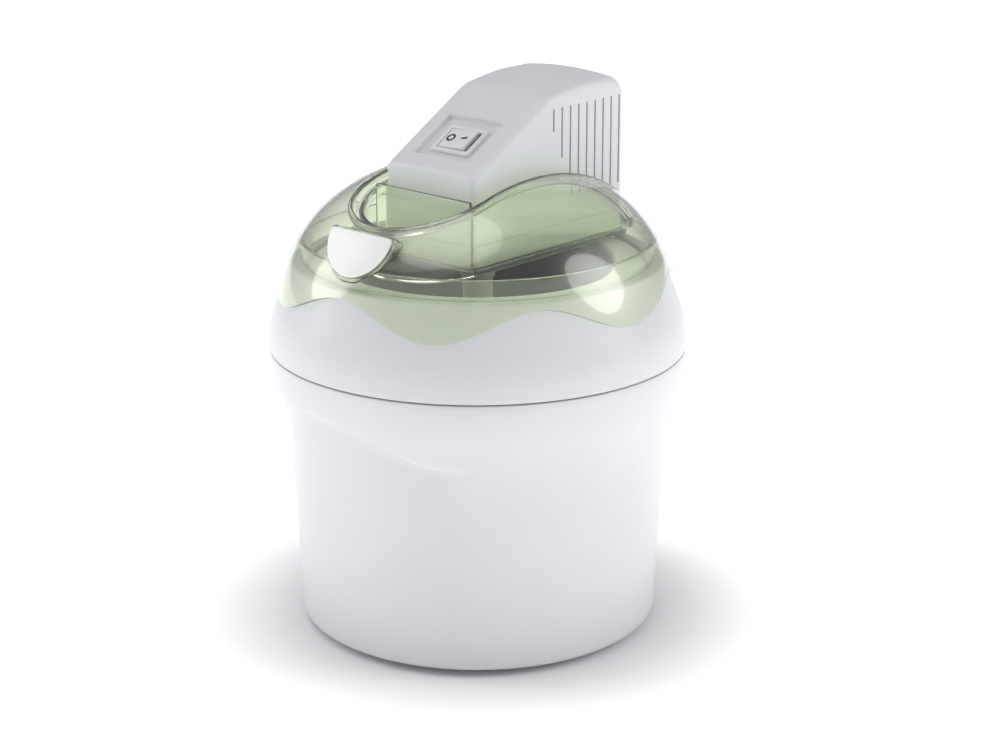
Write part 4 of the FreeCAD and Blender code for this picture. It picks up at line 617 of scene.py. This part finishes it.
addTurned(mesh, [(1.0, linerLow.z), (narrow - corner, linerLow.z),
                 *arc((narrow - corner, linerLow.z), (narrow + wall, linerFloor + corner), corner + wall, 10),
                 (narrow + wall, linerFloor + corner), (linerRadius + wall, rim - 1),
                 (linerRadius + 6, rim - 1),
                 (linerRadius + 6, rim + 0.5), (linerRadius, rim + 0.5), (narrow, linerFloor + corner),
                 *arc((narrow, linerFloor + corner), (narrow - corner, linerFloor), -corner, 10),
                 (narrow - corner, linerFloor), (bowl["pivot"] + 2, linerFloor),
                 (bowl["pivot"] + 0.4, linerFloor + 0.6),
                 (bowl["pivot"], linerFloor + 2), (bowl["pivot"] - 0.8, linerFloor + 9.6),
                 (bowl["pivot"] - 2, linerFloor + bowl["pivotHeight"]),
                 (1.0, linerFloor + bowl["pivotHeight"])],
          256, closed=False)
finishPiece(meshObject("bowlLiner", mesh), "freezer_bowl", made["spunAluminium"],
            ["bowl_liner"])
print("stage: freezer bowl")


# Paddle

paddle = {"hub": 7.5, "ring": 8.7, "blade": 9.0, "thick": 2.4, "edge": 0.9, "lower": 12.0, "upper": 8.0,
          "square": 3.6, "reach": paddleHigh.x}
paddleFoot, hubTop = paddleLow.z, paddleHigh.z
bladeTop = deck - 48.0
mesh = bmesh.new()
addTurned(mesh, [(5.6, paddleFoot), (6.9, paddleFoot), (paddle["hub"], paddleFoot + 0.8),
                 (paddle["hub"], hubTop - 12.3),
                 (paddle["ring"] - 0.3, hubTop - 12), (paddle["ring"], hubTop - 11.6),
                 (paddle["ring"], hubTop - 8.4),
                 (paddle["ring"] - 0.3, hubTop - 8), (paddle["hub"], hubTop - 7.7),
                 (paddle["hub"], hubTop - 0.8),
                 (6.8, hubTop), (5.6, hubTop), (5.3, hubTop - 0.4), (5.3, hubTop - 1.5),
                 (paddle["square"], hubTop - 1.8),
                 (paddle["square"], hubTop - 17.8), (0.8, hubTop - 18.2), (0.8, paddleFoot + 7.8),
                 (5.0, paddleFoot + 7.5),
                 (5.6, paddleFoot + 7)], 96, square=(14, 15))
upright = Matrix.Rotation(math.radians(90), 4, "X")
for side in (-1, 1):
    x = side * (paddle["reach"] - paddle["blade"] / 2)
    lowCorner = 9.5
    inside, outside = x - side * paddle["blade"] / 2, side * paddle["reach"]
    points = [(inside, paddleFoot + 8, 1.5), (inside, bladeTop, 2.5), (outside, bladeTop, 4.0),
              (outside, paddleFoot + lowCorner + 2, 3.0), (outside - side * lowCorner, paddleFoot, 3.0),
              (inside - side * 2, paddleFoot, 0.5)]
    addSlab(mesh, rounded(points), -paddle["thick"] / 2, paddle["thick"] / 2, paddle["edge"], upright)
    for z, height in ((paddleFoot + paddle["lower"] / 2, paddle["lower"]),
                      (bladeTop - 20 + paddle["upper"] / 2, paddle["upper"])):
        start, end = side * (paddle["hub"] - 1), x - side * 1.0
        addSlab(mesh, rectangle(abs(end - start), height, 1.0, ((start + end) / 2, z)),
                -paddle["thick"] / 2 + 0.05,
                paddle["thick"] / 2 - 0.05, paddle["edge"], upright)
finishPiece(meshObject("mixingPaddle", mesh), "paddle", made["polypropylene"], ["paddle"])
print("stage: paddle")


# Lid

lid = {"shoulderInset": 5.5, "shoulderRise": 35.4, "crownInset": 29.1, "crownRise": 70.4, "topRise": 91.3,
       "lowArc": 114.1, "midArc": 75.96, "topArc": 94.9, "wall": 2.0, "waveRise": 35.2, "wave": 7.2,
       "waves": 6,
       "chute": 37.0, "chuteCentre": 35.0, "well": 31.6, "wellFront": 38.0, "wellRear": 81.0, "step": 5.0,
       "corner": 6.0, "hole": 9.0, "bead": 1.8, "steps": 480}
low = (seamRadius, seamHeight)
shoulder = (seamRadius - lid["shoulderInset"], seamHeight + lid["shoulderRise"])
crown = (seamRadius - lid["crownInset"], seamHeight + lid["crownRise"])
domeOutline = [low, *arc(low, shoulder, lid["lowArc"], 16), shoulder,
               *arc(shoulder, crown, lid["midArc"], 16), crown,
               *arc(crown, (0, seamHeight + lid["topRise"]), lid["topArc"], 30),
               (0, seamHeight + lid["topRise"])]
domeByHeight = [(z, r) for r, z in domeOutline]
domeByRadius = [(r, z) for r, z in reversed(domeOutline)]


def wellPlan(grow, chute=True):
    # plan of the well and the round refill opening in front of it
    half, rear, corner = lid["well"] + grow, lid["wellRear"] + grow, lid["corner"] + max(grow, -3)
    if not chute:
        front = -lid["wellFront"]
        return rounded([(-half, front, 2.5), (half, front, 2.5), (half, rear, corner), (-half, rear, corner)],
                       6)
    middle = -lid["chuteCentre"]
    front = [(-half * math.cos(math.radians(t)), middle - half * math.sin(math.radians(t)))
             for t in range(0, 181, 3)]
    back = rounded([(half, middle), (half, rear, corner), (-half, rear, corner), (-half, middle)], 6)
    return front + back[1:-1]


def evenly(outline, count):
    # the same closed outline with its points evenly spaced
    points = [Vector(p) for p in outline] + [Vector(outline[0])]
    lengths = [0.0]
    for a, b in zip(points, points[1:]):
        lengths.append(lengths[-1] + (b - a).length)
    spaced, k = [], 0
    for i in range(count):
        target = lengths[-1] * i / count
        while lengths[k + 1] < target:
            k += 1
        share = (target - lengths[k]) / max(lengths[k + 1] - lengths[k], 1e-9)
        spaced.append(points[k].lerp(points[k + 1], share))
    return spaced


rimPlan = evenly(wellPlan(lid["chute"] - lid["well"] + lid["bead"]), lid["steps"])
angles = [math.atan2(p.x, -p.y) for p in rimPlan]
directions = [p.normalized() for p in rimPlan]
bodyHeight = deck - 1.0
edgeRadius = tableValue(domeByHeight, bodyHeight)
rings = []
for k in range(15):
    share = k / 14
    ring = []
    for angle, direction in zip(angles, directions):
        edge = seamHeight + lid["waveRise"] + lid["wave"] * math.cos(lid["waves"] * angle)
        z = edge + (bodyHeight - edge) * share
        ring.append((*(direction * tableValue(domeByHeight, z)), z))
    rings.append(ring)
for k in range(1, 31):
    share = k / 30
    ring = []
    for p, direction in zip(rimPlan, directions):
        reach = edgeRadius + (p.length - edgeRadius) * share
        ring.append((*(direction * reach), tableValue(domeByRadius, reach)))
    rings.append(ring)
# rim bead, step and walls of the well: (out from the well, drop under the dome or height)
step = lid["chute"] - lid["well"]
bead = lid["bead"]
for grow, rise in ((step + bead * 0.75, 0.35), (step + bead * 0.45, 0.45), (step + bead * 0.15, 0.15),
                   (step, -0.6),
                   (step - 0.1, -2.5), (step - 0.3, 0.9 - lid["step"]), (step - 1.2, -lid["step"]),
                   (1.2, -lid["step"] - 0.2), (0.35, -lid["step"] - 0.6), (0.0, -lid["step"] - 1.6)):
    plan = evenly(wellPlan(grow), lid["steps"])
    rings.append([(p.x, p.y, max(tableValue(domeByRadius, p.length) + rise, deck + 1.5)) for p in plan])
plan = evenly(wellPlan(0.0), lid["steps"])
top = [point[2] for point in rings[-1]]
for k in range(1, 9):
    rings.append([(p.x, p.y, z + (deck - 1.2 - z) * k / 8) for p, z in zip(plan, top)])
plan = evenly(wellPlan(-0.3), lid["steps"])
rings.append([(p.x, p.y, deck - 1.8) for p in plan])
mesh = bmesh.new()
addRings(mesh, rings)
lidShell = meshObject("lidShell", mesh)
applied(lidShell, "SOLIDIFY", {"thickness": lid["wall"] * mm, "offset": -1.0, "use_even_offset": False})

# floor and front wall of the well, with the shaft hole
mesh = bmesh.new()
addSlab(mesh, wellPlan(lid["wall"] * 0.5, False), deck - lid["wall"], deck, 0.4)
hole = bmesh.new()
addSlab(hole, circle(lid["hole"], steps=64), deck - 6, deck + 6, 0.1)
wellFloor = cutBy(meshObject("lidWellFloor", mesh), hole)
finishPiece(wellFloor, "lid", clearLid)
wallTop = trayLow.z + 34.0
mesh = bmesh.new()
addSlab(mesh, rounded([(-lid["well"] + 0.1, deck - 0.5), (lid["well"] - 0.1, deck - 0.5),
                       (lid["well"] - 0.1, wallTop, 0.8), (-lid["well"] + 0.1, wallTop, 0.8)]),
        lid["wellFront"], lid["wellFront"] + lid["wall"], 0.6, upright)
finishPiece(meshObject("lidWellFront", mesh), "lid", clearLid)

# rib that the lid stands on
mesh = bmesh.new()
ribRadius = seamRadius - collar["opening"] + 1.6
addTurned(mesh, rounded([(ribRadius, collarTop, 0.5), (ribRadius + 2, collarTop, 0.5),
                         (ribRadius + 2, collarTop + 10),
                         (ribRadius, collarTop + 10)]))
finishPiece(meshObject("lidRestRib", mesh), "lid", clearLid)

# boss behind the front plate: the plate's outline carried down to the dome
plate = {"half": 20.0, "length": 23.0, "thick": 2.0, "reach": 80.0, "rise": 71.2, "lean": 59.0, "corner": 4.0,
         "margin": 1.0, "edge": 0.5}
leaning = Matrix.Translation((0, -plate["reach"], seamHeight + plate["rise"])) @ Matrix.Rotation(
    math.radians(plate["lean"]), 4, "X")


def plateOutline(grow):
    half, reach, big = plate["half"] + grow, plate["length"] + grow, plate["length"] * 0.9
    right, left = (half, grow - plate["corner"]), (-half, grow - plate["corner"])
    return rounded([(*left, 1.0), *arc(left, (0, -reach), big, 14), (0, -reach),
                    *arc((0, -reach), right, big, 14),
                    (*right, 1.0), (half, grow, plate["corner"]), (-half, grow, plate["corner"])])


def onDome(point, direction):
    # walk back until the point lies on the dome
    for _ in range(400):
        radius = math.hypot(point.x, point.y)
        if point.z < tableValue(domeByRadius, radius) - 0.4 and radius < tableValue(domeByHeight, point.z):
            break
        point = point + direction * 0.1
    return point


into = leaning.to_3x3() @ Vector((0, 0, -1))
mesh = bmesh.new()
edgeRings = []
for grow, height in ((plate["margin"] - 0.5, 0.0), (plate["margin"] - 0.15, -0.15), (plate["margin"], -0.5)):
    edgeRings.append([leaning @ Vector((x, y, height)) for x, y in plateOutline(grow)])
edgeRings.append([onDome(point, into) for point in edgeRings[-1]])
addRings(mesh, edgeRings, caps=(True, False))
boss = meshObject("lidPlateBoss", mesh)
applied(boss, "SOLIDIFY", {"thickness": 1.2 * mm, "offset": -1.0, "use_even_offset": False})
finishPiece(boss, "lid", clearLid)
mesh = bmesh.new()
addSlab(mesh, plateOutline(-0.3), 0.05, plate["thick"] - 0.4, plate["edge"], leaning)
finishPiece(meshObject("frontPlate", mesh), "lid", made["plateWhiteAndPaintedSheen"], ["lid_front_plate"])
finishPiece(lidShell, "lid", clearLid, ["lid_shell"])
print("stage: lid")


# Motor housing

cover = {"noseRise": 44.8, "browReach": 21.0, "browRise": 77.6, "topReach": 46.0, "edge": 3.4, "wall": 2.4,
         "noseDrop": 1.4, "topDrop": 2.2, "vents": 9, "pitch": 6.34, "slot": 1.2, "first": 23.2,
         "ventTop": 69.5,
         "ventBottom": 24.0, "short": (11.5, 25.5), "gland": 6.0, "glandLevel": 34.0, "steps": 44}
half = coverHigh.x
nose, rear, topLevel = coverLow.y, coverHigh.y, coverHigh.z
profile = rounded([(nose, coverLow.z - 20), (rear, coverLow.z - 20), (rear, topLevel, 11),
                   (cover["topReach"], topLevel, 40),
                   (cover["browReach"], deck + cover["browRise"], 22), (nose, deck + cover["noseRise"], 3.4)],
                  10)
profile = [tuple(p) for p in evenly(profile, 260)]
sideways = Matrix(((0, 0, 1, 0), (1, 0, 0, 0), (0, 1, 0, 0), (0, 0, 0, 1)))
stations = []
edge = cover["edge"]
for k in range(7):
    turned = math.radians(15 * k)
    stations.append((edge * (1 - math.sin(turned)), -half + edge * (1 - math.cos(turned))))
flat = half - edge
stations += [(0, -flat + 2 * flat * k / cover["steps"]) for k in range(1, cover["steps"])]
stations += [(d, -x) for d, x in reversed(stations[:7])]
rings = []
for distance, x in stations:
    ring = []
    for y, z in (inset(profile, distance) if distance > 0 else profile):
        share = eased((y - nose) / (cover["browReach"] - nose))
        sink = cover["noseDrop"] + (cover["topDrop"] - cover["noseDrop"]) * share
        height = deck + tableValue([(nose, cover["noseRise"]), (cover["browReach"], cover["browRise"]),
                                    (cover["topReach"], topLevel - deck)], y)
        reach = eased((z - height + 26) / 24)
        ring.append(Vector((x, y, z - sink * (x / half) ** 2 * reach)))
    rings.append(ring)
mesh = bmesh.new()
addRings(mesh, rings, caps=(True, True))
bmesh.ops.bisect_plane(mesh, geom=mesh.verts[:] + mesh.edges[:] + mesh.faces[:], plane_co=(0, 0, coverLow.z),
                       plane_no=(0, 0, 1), clear_inner=True)
motorCover = meshObject("motorCover", mesh)
applied(motorCover, "SOLIDIFY", {"thickness": cover["wall"] * mm, "offset": -1.0, "use_even_offset": False})

# slope of the top, with its local X across and its local Y up the slope
slopeAngle = math.atan2(cover["browRise"] - cover["noseRise"], cover["browReach"] - nose)
onSlope = Matrix.Translation((0, nose, deck + cover["noseRise"])) @ Matrix.Rotation(slopeAngle, 4, "X")
recess = {"length": 35.0, "width": 29.0, "depth": 3.0, "up": 24.5, "corner": 1.2, "draft": 0.8}
switch = {"length": 19.0, "width": 13.0, "tilt": 8.0, "rise": 1.6}
atSwitch = onSlope @ Matrix.Translation((0, recess["up"], 0))

cutters = bmesh.new()
for k in range(cover["vents"]):
    height = cover["short"][k] if k < 2 else cover["ventTop"] - cover["ventBottom"]
    y = cover["first"] + cover["pitch"] * k
    for side in (-1, 1):
        outline = rectangle(cover["slot"], height, 0.55, (y, deck + cover["ventTop"] - height / 2))
        addSlab(cutters, outline, min(side * (half + 4), side * (half - 4)),
                max(side * (half + 4), side * (half - 4)),
                0.05, sideways)
levels = [(recess["length"] + 1.0, recess["width"] + 1.0, 8.0), (recess["length"] + 1.0,
                                                                 recess["width"] + 1.0, 0.0),
          (recess["length"] - recess["draft"], recess["width"] - recess["draft"], -recess["depth"] - 2)]
addRings(cutters, [[atSwitch @ Vector((x, y, z)) for x, y in rectangle(w, l, recess["corner"])] for w, l,
                   z in levels],
         caps=(True, True))
addSlab(cutters, circle(cover["gland"], (0, deck + cover["glandLevel"])), -rear - 5, -rear + 8, 0.05, upright)
cutBy(motorCover, cutters)

# tray at the bottom of the switch recess, with its own low walls behind the opening
mesh = bmesh.new()
tray = [(recess["length"] + 3.4, recess["width"] + 3.4, -recess["depth"] - 1.6),
        (recess["length"] + 3.4, recess["width"] + 3.4, -1.9),
        (recess["length"] + 0.2, recess["width"] + 0.2, -1.2),
        (recess["length"] - 0.6, recess["width"] - 0.6, -recess["depth"] + 0.4),
        (recess["length"] - 1.6, recess["width"] - 1.6, -recess["depth"])]
addRings(mesh, [[atSwitch @ Vector((x, y, z)) for x, y in rectangle(w, l, recess["corner"])] for w, l,
                z in tray],
         caps=(True, True))
opening = bmesh.new()
addSlab(opening, rectangle(switch["length"] + 3, switch["width"] + 3, 0.6), -recess["depth"] - 4,
        -recess["depth"] + 4,
        0.05, atSwitch)
finishPiece(cutBy(meshObject("switchRecess", mesh), opening), "power_unit",
            made["housingAbs"])
finishPiece(motorCover, "power_unit", made["housingAbs"], ["motor_cover"])

# motor base: a tray with the posts of the gear plate, closed by four screws from below
base = {"floor": 2.5, "boss": 3.6, "head": 2.8, "post": 2.8, "postTop": 26.0, "bush": 7.0,
        "posts": ((-21, -18), (21, -18), (-21, 58), (22.5, 65))}
length, middle = rear - nose, (rear + nose) / 2
plan = rectangle(2 * half, length, cover["edge"], (0, middle))
ledge = coverLow.z - 0.3
mesh = bmesh.new()
levels = [(1.0, deck), (0.3, deck + 0.3), (0.0, deck + 1.0), (0.0, ledge - 0.3), (0.3, ledge),
          (cover["wall"] - 0.3, ledge),
          (cover["wall"], ledge - 0.3), (cover["wall"], deck + base["floor"] + 1.5),
          (cover["wall"] + 0.5, deck + base["floor"] + 0.4), (cover["wall"] + 1.6, deck + base["floor"])]
addRings(mesh, [[(x, y, z) for x, y in inset(plan, d)] for d, z in levels], caps=(True, True))
motorBase = meshObject("motorBase", mesh)
holes = bmesh.new()
reach = cover["wall"] + base["boss"] - 0.6
corners = [(sx * (half - reach), y) for sx in (-1, 1) for y in (nose + reach, rear - reach)]
for x, y in corners:
    addSlab(holes, circle(base["head"], (x, y)), deck - 3, deck + 2.0, 0.05)
addSlab(holes, circle(base["bush"], steps=48), deck - 3, deck + 8, 0.05)
cutBy(motorBase, holes)
mesh = bmesh.new()
for x, y in base["posts"]:
    addTurned(mesh, rounded([(1.1, deck + base["floor"] - 0.3), (base["post"], deck + base["floor"] - 0.3),
                             (base["post"], deck + base["postTop"], 0.3), (1.1, deck + base["postTop"])]), 32)
    bmesh.ops.translate(mesh, vec=(x, y, 0), verts=mesh.verts[-32 * 9:])
finishPiece(meshObject("gearPlatePosts", mesh), "power_unit", made["housingAbs"])
finishPiece(motorBase, "power_unit", made["housingAbs"], ["motor_base"])
print("stage: motor housing")


# Switch

mesh = bmesh.new()
frameTop = -recess["depth"] + switch["rise"]
levels = [(switch["length"] + 0.8, switch["width"] + 0.8, frameTop - 10),
          (switch["length"] + 6, switch["width"] + 6, frameTop - 1.6),
          (switch["length"] + 6, switch["width"] + 6, frameTop - 0.5),
          (switch["length"] + 5.2, switch["width"] + 5.2, frameTop),
          (switch["length"] + 1.4, switch["width"] + 1.4, frameTop),
          (switch["length"] + 0.8, switch["width"] + 0.8, frameTop - 0.4)]
addRings(mesh, [[atSwitch @ Vector((x, y, z)) for x, y in rectangle(w, l, 0.9)] for w, l, z in levels],
         closedRows=True)
finishPiece(meshObject("switchFrame", mesh), "power_unit", made["switchNylon"],
            ["switch_body"])
pivot = atSwitch @ Matrix.Translation((0, 0, -recess["depth"] - 0.2)) @ Matrix.Rotation(
    math.radians(-switch["tilt"]), 4, "Y")
halfLength, width = switch["length"] / 2, switch["width"]
side = rounded([(-halfLength, 3.2, 0.7), (0, 2.4), (halfLength, 3.2, 0.7), (halfLength * 0.72, -2.4, 0.5),
                (-halfLength * 0.72, -2.4, 0.5)])
mesh = bmesh.new()
addSlab(mesh, side, -width / 2, width / 2, 0.5, pivot @ Matrix.Rotation(math.radians(90), 4, "X"))
finishPiece(meshObject("switchRocker", mesh), "rocker", made["switchNylon"],
            ["switch_rocker"])
lean = math.atan2(3.2 - 2.4, halfLength)
mesh = bmesh.new()
mark = pivot @ Matrix.Translation((0, 0, 2.4)) @ Matrix.Rotation(lean, 4,
                                                                 "Y") @ Matrix.Translation((-4.9, 0, 0))
ring = [(1.5, -0.1), (1.5, 0.06), (1.6, 0.1), (2.5, 0.1), (2.6, 0.06), (2.6, -0.1)]
addRings(mesh, [[mark @ Vector((r * math.cos(a), r * math.sin(a),
                                z)) for a in (2 * math.pi * k / 40 for k in range(40))]
                for r, z in ring], closedRows=True)
bar = pivot @ Matrix.Translation((0, 0, 2.4)) @ Matrix.Rotation(-lean, 4,
                                                                "Y") @ Matrix.Translation((4.6, 0, 0))
addSlab(mesh, rectangle(4.6, 1.3, 0.2), -0.1, 0.1, 0.05, bar)
finishPiece(meshObject("switchMarks", mesh), "rocker", made["padInk"])
print("stage: switch")


# CAD pieces that keep their shape

carried = {"coolant_fill": "coolantGel", "filling_plug": "blackNylon", "shaft_seal": "siliconeSeal",
           "cover_screws": "zincSteel", "gear_plate": "galvanisedSheet", "gear_plate_screws": "zincSteel",
           "second_gear_pin": "groundSteel", "first_gear_pin": "groundSteel", "output_bush": "sinteredBronze",
           "upper_bush": "sinteredBronze", "motor_can": "drawnSteel", "motor_magnets": "ferrite",
           "motor_end_cap": "blackNylon", "brushes": "ferrite", "rocker_pin": "groundSteel",
           "switch_terminals": "lacqueredCopper", "board_standoffs": "blackNylon",
           "rectifier_board": "epoxyBoard",
           "suppressor_capacitor": "dippedFilm", "rectifier": "blackNylon", "cord_gland": "footRubber",
           "output_gear": "acetal", "drive_shaft": "groundSteel", "second_gear": "acetal",
           "first_gear": "acetal",
           "armature": "laminatedCore", "commutator": "lacqueredCopper", "motor_pinion": "groundSteel",
           "cooling_fan": "blackNylon"}
for name, finish in carried.items():
    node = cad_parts[name]
    if not node.material_slots:
        node.data.materials.append(made[finish])
    for holder in node.material_slots:
        holder.material = made[finish]
print("stage: carried pieces")
